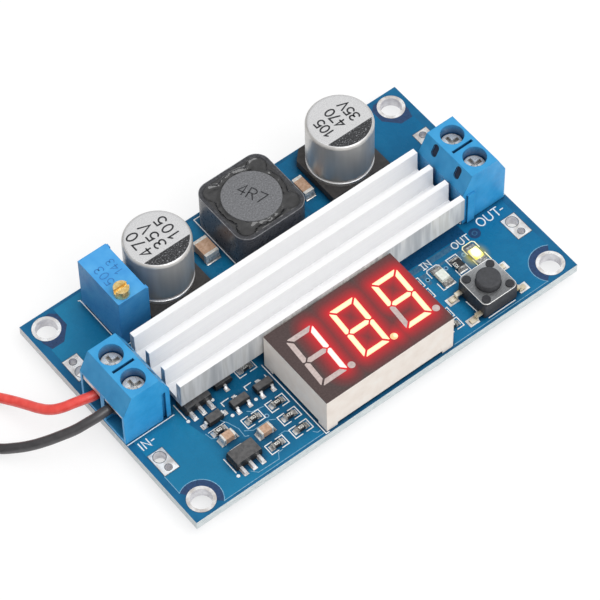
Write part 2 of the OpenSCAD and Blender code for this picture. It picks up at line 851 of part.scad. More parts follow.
// What one pole takes out of the housing: screw well, hole in the ledge, clamp chamber,
// wire entry, pin hole, and the probe slot in the sloped back
module pole_cut() {
    translate([-well_shift, 0, well_z]) cylinder(d = well_d, h = block_h, $fn = round_fn);
    translate([-well_shift, 0, chamber_top]) through(clamp_shank_d + 2 * slide_gap, ledge_t);
    translate([chamber_front, -entry_w / 2, entry_floor_t])
        cube([chamber_back - chamber_front, entry_w, chamber_top - entry_floor_t]);
    translate([-block_d / 2 - cut, -entry_w / 2, entry_floor_t])
        cube([block_d / 2 + cut + chamber_front + weld, entry_w, entry_top - entry_floor_t]);
    translate([terminal_pin_x, 0, 0]) through(terminal_pin_d + 2 * pin_gap, entry_floor_t);
    translate([block_d / 2 - shoulder_d / 2, 0, block_h - shoulder_h / 2])
        rotate([0, atan2(shoulder_h, shoulder_d), 0]) translate([-probe_slot_rise, 0, 0]) probe_cut();
}

// Slot with round ends, along X
module probe_cut() {
    end_x = (probe_slot_l - probe_slot_w) / 2;
    cube([2 * end_x, probe_slot_w, probe_slot_t], center = true);
    for (s = [-1, 1]) translate([s * end_x, 0, -probe_slot_t / 2])
        cylinder(d = probe_slot_w, h = probe_slot_t, $fn = round_fn);
}

// Captive screw: its head sits on the ledge, its shank ends just above the contact
module clamp_screw() {
    shank_z = contact_z + contact_t + turn_gap;
    cross_l = clamp_head_d - 2 * cross_margin;
    color([0.8, 0.8, 0.8]) translate([-well_shift, 0, 0]) difference() {
        union() {
            translate([0, 0, shank_z])
                cylinder(d = clamp_shank_d, h = clamp_head_z - shank_z + weld, $fn = round_fn);
            translate([0, 0, clamp_head_z]) cylinder(d = clamp_head_d, h = clamp_head_h, $fn = round_fn);
        }
        translate([0, 0, clamp_head_z + clamp_head_h]) for (a = [0, 90]) {
            rotate(a) cube([cross_l, cross_w, 2 * cross_t], center = true);
        }
    }
}

// Rising cage: floor under the wire, walls beside it, roof on the screw's thread
module clamp_cage() {
    foot_z = clamp_floor_z - clamp_t;
    color([0.78, 0.74, 0.66]) translate([-well_shift, 0, 0]) difference() {
        translate([-clamp_d / 2, -clamp_w / 2, foot_z])
            cube([clamp_d, clamp_w, clamp_roof_z + clamp_t - foot_z]);
        translate([-clamp_d / 2 - cut, -clamp_inner_w / 2, clamp_floor_z])
            cube([clamp_d + 2 * cut, clamp_inner_w, clamp_roof_z - clamp_floor_z]);
        translate([0, 0, clamp_roof_z]) through(clamp_shank_d + 2 * turn_gap, clamp_t);
    }
}

// Fixed contact over each wire, its drop behind the cage, and its pin through the board
module terminal_contacts() {
    contact_w = clamp_inner_w - 2 * contact_gap;
    color([0.8, 0.78, 0.72]) for (s = [-1, 1]) translate([0, s * pole_y, 0]) {
        translate([contact_front, -contact_w / 2, contact_z])
            cube([contact_back - contact_front, contact_w, contact_t]);
        translate([contact_back - contact_t, -contact_w / 2, entry_floor_t])
            cube([contact_t, contact_w, contact_z - entry_floor_t + weld]);
        translate([terminal_pin_x, 0, -top_z])
            cylinder(d = terminal_pin_d, h = top_z + entry_floor_t + weld, $fn = round_fn);
    }
}

// Input block as drawn; output block turned half round
module at_input() {
    translate([in_block_x, in_block_y, top_z]) children();
}
module at_output() {
    translate([out_block_x, out_block_y, top_z]) rotate(180) children();
}

module input_terminal_housing() { at_input() terminal_housing(); }
module output_terminal_housing() { at_output() terminal_housing(); }
module input_terminal_contacts() { at_input() terminal_contacts(); }
module output_terminal_contacts() { at_output() terminal_contacts(); }
module input_positive_screw() { at_input() translate([0, pole_y, 0]) clamp_screw(); }
module input_negative_screw() { at_input() translate([0, -pole_y, 0]) clamp_screw(); }
module input_positive_clamp() { at_input() translate([0, pole_y, 0]) clamp_cage(); }
module input_negative_clamp() { at_input() translate([0, -pole_y, 0]) clamp_cage(); }
module output_positive_screw() { at_output() translate([0, -pole_y, 0]) clamp_screw(); }
module output_negative_screw() { at_output() translate([0, pole_y, 0]) clamp_screw(); }
module output_positive_clamp() { at_output() translate([0, -pole_y, 0]) clamp_cage(); }
module output_negative_clamp() { at_output() translate([0, pole_y, 0]) clamp_cage(); }

// Trimmer

module trimmer_body() {
    body_h = trimmer_h - trimmer_foot[1];
    bore_l = adjuster_shank_l + 2 * slide_gap;
    color([0.22, 0.5, 0.8]) difference() {
        translate([trimmer_x, trimmer_y, top_z]) {
            translate([-trimmer_w / 2, -trimmer_l / 2, trimmer_foot[1]])
                cube([trimmer_w, trimmer_l, body_h]);
            // Feet under both ends, and ribs down the side that faces the capacitor
            for (s = [0, 180]) rotate(s) translate([-trimmer_w / 2, -trimmer_l / 2, 0])
                cube([trimmer_w, trimmer_foot[0], trimmer_foot[1] + weld]);
            for (y = [-trimmer_l / 2, trimmer_l / 2 - trimmer_rib[1]]) {
                translate([trimmer_w / 2 - weld, y, trimmer_foot[1]])
                    cube([trimmer_rib[0] + weld, trimmer_rib[1], body_h - trimmer_rib_drop]);
            }
        }
        translate([adjuster_x, adjuster_y, top_z + trimmer_h - bore_l])
            cylinder(d = adjuster_shank_d + 2 * slide_gap, h = bore_l + cut, $fn = round_fn);
    }
}

module trimmer_screw() {
    color([0.85, 0.68, 0.35]) translate([adjuster_x, adjuster_y, top_z + trimmer_h]) difference() {
        union() {
            translate([0, 0, turn_gap])
                cylinder(d = adjuster_d, h = adjuster_h - turn_gap, $fn = round_fn);
            translate([0, 0, -adjuster_shank_l])
                cylinder(d = adjuster_shank_d, h = adjuster_shank_l + turn_gap + weld, $fn = round_fn);
        }
        translate([0, 0, adjuster_h])
            cube([adjuster_d + cut, adjuster_slot[0], 2 * adjuster_slot[1]], center = true);
    }
}

module trimmer_pins() {
    color([0.75, 0.75, 0.76]) for (p = trimmer_pin_places()) {
        translate(p) cylinder(d = trimmer_pin_d, h = top_z + trimmer_foot[1], $fn = round_fn);
    }
}

// Electrolytic capacitors, drawn with Z = 0 on the pads

// Square base with two cut corners at +Y and a round seat for the can
module can_base() {
    half = base_side / 2;
    color([0.09, 0.09, 0.1]) difference() {
        translate([0, 0, base_stand]) linear_extrude(base_t - base_stand) polygon([
            [-half, -half], [half, -half], [half, half - base_cut],
            [half - base_cut, half], [-half + base_cut, half], [-half, half - base_cut]
        ]);
        translate([0, 0, base_t - can_seat])
            cylinder(d = can_d - 2 * can_foot_inset + 2 * slide_gap, h = can_seat + cut, $fn = round_fn);
    }
}

// Drawn can: foot in the seat, rolled bead and a rounded top edge
module can_shell() {
    r = can_d / 2;
    foot_r = r - can_foot_inset;
    bead_mid = base_t + bead_z;
    color([0.8, 0.81, 0.83]) rotate_extrude($fn = turned_fn) polygon(concat(
        [[0, base_t - can_seat], [foot_r, base_t - can_seat], [foot_r, base_t], [r, base_t]],
        arc(r + bead_out, bead_mid, bead_r, 180 + bead_half, 180 - bead_half, bead_steps),
        arc(r - can_edge_r, can_h - can_edge_r, can_edge_r, 0, 90, can_edge_steps),
        [[0, can_h]]
    ));
}

module can_lead_pair() {
    lead_l = base_side / 2 + can_lead_out - can_lead_from;
    for (s = [0, 180]) rotate(s) translate([-can_lead_w / 2, can_lead_from, 0])
        cube([can_lead_w, lead_l, base_stand]);
}
module can_lands() {
    for (s = [-1, 1]) rect_land(0, s * (base_side / 2 - can_land_inset), can_land);
}

module input_capacitor_base() { translate([in_can_x, can_y, seat_z]) can_base(); }
module input_capacitor_can() { translate([in_can_x, can_y, seat_z]) can_shell(); }
module output_capacitor_base() { translate([out_can_x, can_y, seat_z]) can_base(); }
module output_capacitor_can() { translate([out_can_x, can_y, seat_z]) can_shell(); }
module capacitor_leads() {
    color([0.75, 0.75, 0.76]) for (x = [in_can_x, out_can_x]) {
        translate([x, can_y, seat_z]) can_lead_pair();
    }
}

// Inductor, drawn with Z = 0 on the pads

module at_inductor() {
    translate([inductor_x, inductor_y, seat_z]) children();
}

// Square shield: a bore that takes the drum's foot, and above it a wider bore with corner pockets
module inductor_shield() {
    ledge_z = plate_t + drum_flange_t + lip_gap;
    pocket_at = shield_bore_d / 2 * cos(45) + pocket_out;
    color([0.35, 0.36, 0.37]) at_inductor() difference() {
        translate([0, 0, plate_t]) linear_extrude(inductor_h - shield_drop - plate_t)
            rounded_square(shield_side, shield_r);
        translate([0, 0, plate_t]) through(drum_foot_d + 2 * turn_gap, inductor_h);
        translate([0, 0, ledge_z]) cylinder(d = shield_bore_d, h = inductor_h, $fn = round_fn);
        for (sx = [-1, 1], sy = [-1, 1]) translate([sx * pocket_at, sy * pocket_at, ledge_z])
            cylinder(d = pocket_d, h = inductor_h, $fn = round_fn);
    }
}

module inductor_drum() {
    drum_h = inductor_h - plate_t;
    color([0.5, 0.51, 0.52]) at_inductor() translate([0, 0, plate_t]) {
        cylinder(d = drum_foot_d, h = drum_flange_t, $fn = round_fn);
        cylinder(d = drum_core_d, h = drum_h, $fn = round_fn);
        translate([0, 0, drum_h - drum_flange_t]) cylinder(d = drum_d, h = drum_flange_t, $fn = round_fn);
    }
}

module inductor_winding() {
    winding_z = plate_t + drum_flange_t;
    winding_h = inductor_h - drum_flange_t - winding_z;
    color([0.6, 0.35, 0.2]) at_inductor() translate([0, 0, winding_z]) difference() {
        cylinder(d = drum_d - 2 * winding_inset, h = winding_h, $fn = round_fn);
        through(drum_core_d + 2 * slide_gap, winding_h);
    }
}

// Terminal plates under the front and back sides, turned up against the shield
module inductor_terminals() {
    color([0.75, 0.75, 0.76]) at_inductor() for (turn = [90, 270]) rotate(turn) {
        translate([shield_side / 2 + plate_t - plate_l, -plate_w / 2, 0])
            cube([plate_l, plate_w, plate_t]);
        translate([shield_side / 2, -plate_w / 2, 0]) cube([plate_t, plate_w, plate_up]);
    }
}
module inductor_lands() {
    land_l = plate_l + plate_land_out;
    land_y = shield_side / 2 + plate_t + plate_land_out - land_l / 2;
    for (s = [-1, 1]) rect_land(0, s * land_y, [plate_land_w, land_l]);
}

// Small parts

module ceramic_capacitor_bodies() {
    color([0.78, 0.62, 0.48]) translate([0, 0, seat_z]) {
        for (p = small_ceramics) translate(p) chip_body(chip_m, chip_end);
        translate(in_ceramic) rotate(90) chip_body(in_chip, large_end);
        translate(out_ceramic) rotate(90) chip_body(out_chip, large_end);
    }
}
module ceramic_capacitor_ends() {
    color([0.8, 0.8, 0.8]) translate([0, 0, seat_z]) {
        for (p = small_ceramics) translate(p) chip_ends(chip_m, chip_end);
        translate(in_ceramic) rotate(90) chip_ends(in_chip, large_end);
        translate(out_ceramic) rotate(90) chip_ends(out_chip, large_end);
    }
}
module resistor_bodies() {
    color([0.2, 0.2, 0.2]) translate([0, 0, seat_z]) {
        for (p = small_resistors) translate(p) chip_body(chip_s, chip_end);
        translate([button_x, lamp_resistor_y, 0]) rotate(90) chip_body(lamp_resistor, chip_end);
    }
}
module resistor_ends() {
    color([0.8, 0.8, 0.8]) translate([0, 0, seat_z]) {
        for (p = small_resistors) translate(p) chip_ends(chip_s, chip_end);
        translate([button_x, lamp_resistor_y, 0]) rotate(90) chip_ends(lamp_resistor, chip_end);
    }
}

// Three-lead transistors: two leads at -Y and one at +Y; each place is an X and a side
function transistor_lead_places() = [[-sot_pitch / 2, -1], [sot_pitch / 2, -1], [0, 1]];

module transistor_lead_set() {
    for (p = transistor_lead_places()) {
        translate([p[0], p[1] * sot[1] / 2, 0]) rotate(p[1] * 90) bent_lead(sot_lead, sot_rise, sot_foot);
    }
}
module transistor_lands() {
    tip = sot[1] / 2 + sot_lead[0];
    for (p = transistor_lead_places()) rect_land(p[0], p[1] * (tip - sot_foot / 2), sot_land);
}
module signal_diode_leads() {
    lead = [sot_lead[0], diode_lead_w, sot_lead[2]];
    for (s = [0, 180]) rotate(s) translate([signal_diode[0] / 2, 0, 0])
        bent_lead(lead, sot_rise, sot_foot);
}
module signal_diode_lands() {
    tip = signal_diode[0] / 2 + sot_lead[0];
    for (s = [-1, 1]) rect_land(s * (tip - sot_foot / 2), 0, diode_land);
}

module transistor_bodies() {
    color([0.13, 0.13, 0.14]) translate([0, 0, seat_z + sot_stand]) {
        for (p = concat(transistors, [turned_transistor])) translate(p) moulded_body(sot, sot_draft);
        translate(diode_place) moulded_body(signal_diode, sot_draft);
    }
}
module transistor_leads() {
    color([0.78, 0.78, 0.79]) translate([0, 0, seat_z]) {
        for (p = transistors) translate(p) transistor_lead_set();
        translate(turned_transistor) rotate(180) transistor_lead_set();
        translate(diode_place) signal_diode_leads();
    }
}

// Regulators: a tab at +Y and three flat leads at -Y
function regulator_columns() = [-regulator_pitch, 0, regulator_pitch];

module regulator_lead_set() {
    edge = regulator[1] / 2;
    for (x = regulator_columns()) {
        translate([x - regulator_lead[0] / 2, -edge - regulator_lead[1], 0]) cube(regulator_lead);
    }
    translate([-regulator_tab[0] / 2, edge, 0]) cube(regulator_tab);
}
module regulator_lands() {
    edge = regulator[1] / 2;
    for (x = regulator_columns()) rect_land(x, -edge - regulator_lead_land[1] / 2, regulator_lead_land);
    rect_land(0, edge - regulator_tab_land[1] / 2 + regulator_tab[1] + chip_land / 2, regulator_tab_land);
}
// Upright up to the waist, so that the leads meet the body face to face
module regulator_bodies() {
    half = regulator[0] / 2;
    top = half - regulator_draft;
    color([0.16, 0.16, 0.17]) for (p = regulators) translate([p[0], p[1], seat_z])
        rotate([90, 0, 0]) linear_extrude(regulator[1], center = true) polygon([
            [-half, 0], [half, 0], [half, regulator_waist],
            [top, regulator_h], [-top, regulator_h], [-half, regulator_waist]
        ]);
}
module regulator_leads() {
    color([0.78, 0.78, 0.79]) for (p = regulators) translate([p[0], p[1], seat_z]) regulator_lead_set();
}

// Indicator lamps: a base with end caps, and a moulded lens in the middle of it
module lamp_bases() {
    color([0.85, 0.85, 0.8]) for (x = [in_lamp_x, out_lamp_x]) translate([x, lamp_y, seat_z]) rotate(90)
        translate([0, 0, lamp_base_h / 2]) cube([lamp[0], lamp[1], lamp_base_h], center = true);
}
module lamp_lens() {
    half = lamp[0] / 2 - lamp_end;
    lens_w = lamp[1] - 2 * lens_side;
    lens_h = lamp_h - lamp_base_h;
    translate([0, 0, lamp_base_h]) rotate([90, 0, 0]) linear_extrude(lens_w, center = true) polygon([
        [-half, 0], [half, 0], [half - lens_slope, lens_h], [-half + lens_slope, lens_h]
    ]);
}
module input_lamp_lens() {
    color([0.95, 0.95, 0.85]) translate([in_lamp_x, lamp_y, seat_z]) rotate(90) lamp_lens();
}
module output_lamp_lens() {
    color([1, 0.95, 0.5]) translate([out_lamp_x, lamp_y, seat_z]) rotate(90) lamp_lens();
}

// Push button, drawn with Z = 0 on the pads

module at_button() {
    translate([button_x, button_y, seat_z]) children();
}
module each_post() {
    for (sx = [-1, 1], sy = [-1, 1]) translate([sx * post_at, sy * post_at, 0]) children();
}

// Housing with the cup for the dome and plunger, and four posts that hold the cover
module button_housing() {
    color([0.11, 0.11, 0.12]) at_button() {
        difference() {
            translate([0, 0, button_stand]) linear_extrude(lip_z - button_stand)
                rounded_square(button_side, housing_r);
            translate([0, 0, cup_z]) cylinder(d = cup_d, h = cover_h, $fn = round_fn);
        }
        each_post() translate([0, 0, lip_z - weld])
            cylinder(d = post_d, h = cover_t + post_reach + weld, $fn = round_fn);
    }
}

module button_cover() {
    color([0.6, 0.6, 0.6]) at_button() translate([0, 0, lip_z]) difference() {
        linear_extrude(cover_t) rounded_square(button_side, cover_r);
        through(plunger_d + 2 * slide_gap, cover_t);
        each_post() through(post_d + 2 * pin_gap, cover_t);
    }
}

// Plunger: cap through the cover, flange held under it, and a nub that meets the dome when pressed
module button_plunger() {
    flange_z = lip_z - turn_gap - flange_t;
    nub_z = cup_z + dome_rise + turn_gap + plunger_travel;
    edge_z = cover_h + plunger_h - plunger_edge;
    color([0.16, 0.16, 0.17]) at_button() {
        translate([0, 0, flange_z]) cylinder(d = flange_d, h = flange_t, $fn = round_fn);
        translate([0, 0, flange_z]) cylinder(d = plunger_d, h = edge_z - flange_z, $fn = round_fn);
        translate([0, 0, edge_z])
            cylinder(d1 = plunger_d, d2 = plunger_d - 2 * plunger_edge, h = plunger_edge, $fn = round_fn);
        translate([0, 0, nub_z]) cylinder(d = nub_d, h = flange_z - nub_z + weld, $fn = round_fn);
    }
}

// Snap dome: a shallow cap of a sphere, resting on the floor of the cup
module button_dome() {
    span = cup_d / 2 - dome_inset;
    r = (span * span + dome_rise * dome_rise) / (2 * dome_rise);
    color([0.85, 0.8, 0.6]) at_button() translate([0, 0, cup_z]) intersection() {
        translate([0, 0, dome_rise - r]) difference() {
            sphere(r, $fn = dome_fn);
            sphere(r - dome_t, $fn = dome_fn);
        }
        cylinder(r = span, h = 2 * dome_rise, $fn = round_fn);
    }
}

// Each place is a side and a Y
function button_lead_places() = [
    for (side = [-1, 1], y = [-1, 1]) [side, y * (button_side / 2 - button_lead_inset)]
];
module button_leads() {
    color([0.8, 0.8, 0.78]) at_button() for (p = button_lead_places()) {
        translate([p[0] * button_side / 2, p[1], 0]) rotate(90 - p[0] * 90)
            bent_lead(button_lead, button_lead_rise, button_lead_foot);
    }
}
module button_lands() {
    for (p = button_lead_places()) {
        rect_land(p[0] * (button_side / 2 + button_lead[0] - button_land_in), p[1], button_land);
    }
}

// Meter

module at_meter(z) {
    translate([meter_x, meter_y, top_z + z]) children();
}

// Lean of a digit: shifts X in step with Y
module lean() {
    multmatrix([[1, tan(digit_lean), 0, 0], [0, 1, 0, 0], [0, 0, 1, 0], [0, 0, 0, 1]]) children();
}

// Top bar: mitred ends with the sharp corners nipped off
module top_bar() {
    x = digit_w / 2 - segment_gap;
    y = digit_h / 2;
    w = segment_w;
    n = segment_nip;
    polygon([
        [n - x, y], [x - n, y], [x - n / 2, y - n / 2], [x - w, y - w],
        [w - x, y - w], [n / 2 - x, y - n / 2]
    ]);
}

// Upper right bar: mitred against the top bar, pointed beside the middle bar
module side_bar() {
    x = digit_w / 2;
    y = digit_h / 2 - segment_gap;
    low = segment_gap / 2;
    w = segment_w;
    n = segment_nip;
    polygon([
        [x, low + n], [x, y - n], [x - n / 2, y - n / 2], [x - w, y - w],
        [x - w, low + w / 2], [x - w / 2, low], [x - n, low]
    ]);
}

// Middle bar: pointed at both ends
module middle_bar() {
    tip = digit_w / 2 - segment_w / 2 - segment_gap;
    w = segment_w;
    polygon([
        [tip, 0], [tip - w / 2, w / 2], [w / 2 - tip, w / 2],
        [-tip, 0], [w / 2 - tip, -w / 2], [tip - w / 2, -w / 2]
    ]);
}

module point() {
    x = digit_w / 2 + point_gap + point_d / 2 - tan(digit_lean) * digit_h / 2;
    translate([x, point_up - digit_h / 2]) circle(d = point_d, $fn = corner_fn);
}

// Segment of a digit by its number in the lit table
module segment(k) {
    if (k == 0) lean() top_bar();
    if (k == 1) lean() side_bar();
    if (k == 2) lean() mirror([0, 1]) side_bar();
    if (k == 3) lean() mirror([0, 1]) top_bar();
    if (k == 4) lean() mirror([1, 0]) mirror([0, 1]) side_bar();
    if (k == 5) lean() mirror([1, 0]) side_bar();
    if (k == 6) lean() middle_bar();
    if (k == 7) point();
}

// Segments of all digits whose entry in the lit table is the given state
module segments(state) {
    for (digit = [0:2]) translate([digit_shift + (digit - 1) * digit_pitch, 0]) {
        for (k = [0:7]) if (lit[digit][k] == state) segment(k);
    }
}

// Hollow below, standing on four corner feet
module display_housing() {
    color([0.9, 0.89, 0.86]) at_meter(0) difference() {
        translate([-meter_l / 2, -meter_w / 2, 0]) cube([meter_l, meter_w, meter_h - face_t]);
        translate([meter_foot_l - meter_l / 2, -meter_w / 2 - cut, -cut])
            cube([meter_l - 2 * meter_foot_l, meter_w + 2 * cut, meter_foot_h + cut]);
        translate([-meter_l / 2 - cut, meter_foot_l - meter_w / 2, -cut])
            cube([meter_l + 2 * cut, meter_w - 2 * meter_foot_l, meter_foot_h + cut]);
    }
}

module display_face() {
    color([0.25, 0.2, 0.2]) at_meter(meter_h - face_t) linear_extrude(face_t) difference() {
        square([meter_l, meter_w], center = true);
        segments(0);
        segments(1);
    }
}
module display_lit_segments() {
    color([1, 0.85, 0.6]) at_meter(meter_h - face_t) linear_extrude(face_t) segments(1);
}
module display_unlit_segments() {
    color([0.7, 0.65, 0.62]) at_meter(meter_h - face_t) linear_extrude(face_t) segments(0);
}
module display_pins() {
    color([0.75, 0.75, 0.76]) for (p = meter_pin_places()) {
        translate(p) cylinder(d = meter_pin_d, h = top_z + meter_foot_h, $fn = round_fn);
    }
}

// Input leads: bare ends in the clamps, insulated runs, and the coils of the spare length

module lead_conductors() {
    color([0.85, 0.6, 0.4]) for (start = [red_route[0], black_route[0]]) {
        translate(start) rotate([0, 90, 0]) cylinder(d = conductor_d, h = conductor_l, $fn = round_fn);
    }
}
module red_lead() { color([0.8, 0.15, 0.12]) route_tube(red_route, lead_d, lead_sides); }
module black_lead() { color([0.15, 0.15, 0.15]) route_tube(black_route, lead_d, lead_sides); }
module lead_coils() {
    color([0.3, 0.2, 0.2]) for (c = [red_coil, black_coil]) {
        translate(c) rotate_extrude($fn = turned_fn)
            translate([coil_inner_r, 0]) square([coil_outer_r - coil_inner_r, lead_d]);
    }
}

pcb();
tinned_pads();
solder_joints();
heatsink();
thermal_pad();
mosfet_body();
mosfet_leadframe();
diode_body();
diode_leadframe();
controller_body();
controller_leads();
input_terminal_housing();
input_positive_screw();
input_negative_screw();
input_positive_clamp();
input_negative_clamp();
input_terminal_contacts();
output_terminal_housing();
output_positive_screw();
output_negative_screw();
output_positive_clamp();
output_negative_clamp();
output_terminal_contacts();
trimmer_body();
trimmer_screw();
trimmer_pins();
input_capacitor_base();
input_capacitor_can();
output_capacitor_base();
output_capacitor_can();
capacitor_leads();
inductor_shield();
inductor_drum();
inductor_winding();
inductor_terminals();
ceramic_capacitor_bodies();
ceramic_capacitor_ends();
resistor_bodies();
resistor_ends();
transistor_bodies();
transistor_leads();
regulator_bodies();
regulator_leads();
lamp_bases();
input_lamp_lens();
output_lamp_lens();
button_housing();
button_cover();
button_plunger();
button_dome();
button_leads();
display_housing();
display_face();
display_lit_segments();
display_unlit_segments();
display_pins();
lead_conductors();
red_lead();
black_lead();
lead_coils();
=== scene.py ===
"""Looks of the boost converter module: materials, board print, lettering, solder and the input leads.
Lengths are in millimetres here and become metres where a mesh is made."""
from math import atan2, copysign, cos, hypot, pi, radians, sin, sqrt, tan

import bpy
from mathutils import Matrix, Vector, noise


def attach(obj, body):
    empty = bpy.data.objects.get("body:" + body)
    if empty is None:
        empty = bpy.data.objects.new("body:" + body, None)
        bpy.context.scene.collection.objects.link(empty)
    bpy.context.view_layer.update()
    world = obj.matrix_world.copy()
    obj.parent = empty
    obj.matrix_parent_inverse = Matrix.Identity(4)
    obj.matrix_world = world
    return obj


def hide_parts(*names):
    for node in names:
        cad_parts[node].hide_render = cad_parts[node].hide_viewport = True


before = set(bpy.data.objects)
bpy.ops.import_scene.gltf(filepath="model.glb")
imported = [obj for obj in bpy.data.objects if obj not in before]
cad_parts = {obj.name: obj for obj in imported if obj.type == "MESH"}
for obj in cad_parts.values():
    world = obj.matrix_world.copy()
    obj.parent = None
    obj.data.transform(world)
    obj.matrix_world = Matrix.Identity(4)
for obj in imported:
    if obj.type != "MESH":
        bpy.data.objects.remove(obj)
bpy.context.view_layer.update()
scene = bpy.context.scene
scene.view_settings.view_transform = "Standard"
MM = 0.001
UP = (0, 0, 1)
SQUARE = ((-1, -1), (1, -1), (1, 1), (-1, 1))


def pts(line):
    """Points from a line such as "-3.3 20, 9.9 6.4"."""
    return [tuple(map(float, p.split())) for p in line.split(",")]


# Levels: the board's top face, and above it the pads, copper areas, tracks, fine lines and print
TOP = 3.2
PAD_TOP = TOP + 0.05
POUR_Z, TRACK_Z, LINE_Z, SILK_Z = (TOP + up for up in (0.012, 0.0145, 0.024, 0.034))
HAIR = 0.0015  # between flat shapes that cross

# Places of the parts, as in the part's source
CORNERS = [(sx, sy) for sx in (-1, 1) for sy in (-1, 1)]
HOLE, HOLE_R = (31.2, 17.9), 1.6
WIRE_X, WIRE_HOLES = 31.6, ((9, 0.9), (11.05, 0.5))
PAD_Y, PAD_HALF = 9.9, (1.27, 2.02)
BOXED_CHIPS = pts("-13.6 -17.5, -13.6 -14.9, -13.6 -12.15, -13.6 -4.85, -17.8 -17.5, -17.8 -12.15, "
                  "13.4 -17.5, 13.4 -15.4, 13.4 -11.2, 13.4 -8.9")
ALL_CHIPS = BOXED_CHIPS + pts("-22.64 -10.8")
SMALL_CERAMICS = ((-17.8, -14.9), (-22.46, -12.5))
LARGE_CERAMICS, LARGE_CERAMIC_Y = ((-5.75, 1.15), (11.85, 0.8)), 14.25
LAMPS, LAMP_Y = (17.73, 23.87), -10.15
LIT_LAMP = (LAMPS[1], LAMP_Y)
LAMP_CHIP_X, LAMP_ROW = 20.8, -10
CHIP_TOP, LAMP_CHIP_TOP = 3.7, 3.8
BUTTON = (20.8, -16.4)
INDUCTOR = (2.4, 13.9)
DRUM_TOP = 10.25
SHIELD_TOP = DRUM_TOP - 0.12
CAN_Y, CAN_TOP = 14.4, 13.75
TRIMMER_TOP = 13.2
POLES = [(x, y + off, side, off) for x, y, side in ((-30.05, 0.5, 1), (29.7, 0.2, -1)) for off in (-2.5, 2.5)]


def add_object(name, data):
    thing = bpy.data.objects.new(name, data)
    scene.collection.objects.link(thing)
    return thing


# Camera at the photo's angle

def make_camera():
    place = Vector((-171.71, -226.02, 416.65)) * MM
    forward = Vector((0.34185461, 0.44988742, -0.82506771))
    right = Vector((0.78437093, -0.62015244, -0.01316009))
    up = right.cross(forward)
    data = bpy.data.cameras.new("camera")
    data.sensor_fit = "HORIZONTAL"
    data.angle = radians(9.653)
    data.clip_start = 0.01
    data.clip_end = 20
    cam = add_object("camera", data)
    turn = Matrix((right, up, -forward)).transposed().to_4x4()
    cam.matrix_world = Matrix.Translation(place) @ turn
    scene.camera = cam


make_camera()


# Materials

def rgb(code):
    """Linear colour of a written hex colour."""
    parts = [int(code[i:i + 2], 16) / 255 for i in (0, 2, 4)]
    return tuple(c / 12.92 if c <= 0.04045 else ((c + 0.055) / 1.055) ** 2.4 for c in parts) + (1.0,)


def join(tree, value, socket):
    """Links an input to an output, or sets it to a value."""
    if hasattr(value, "links"):
        tree.links.new(value, socket)
    else:
        socket.default_value = value


def add_node(tree, kind, out, inputs, **settings):
    """New shader node: gives the output that is named."""
    n = tree.nodes.new("ShaderNode" + kind)
    for key, value in settings.items():
        setattr(n, key, value)
    for key, value in inputs.items():
        join(tree, value, n.inputs[key])
    return n.outputs[out]


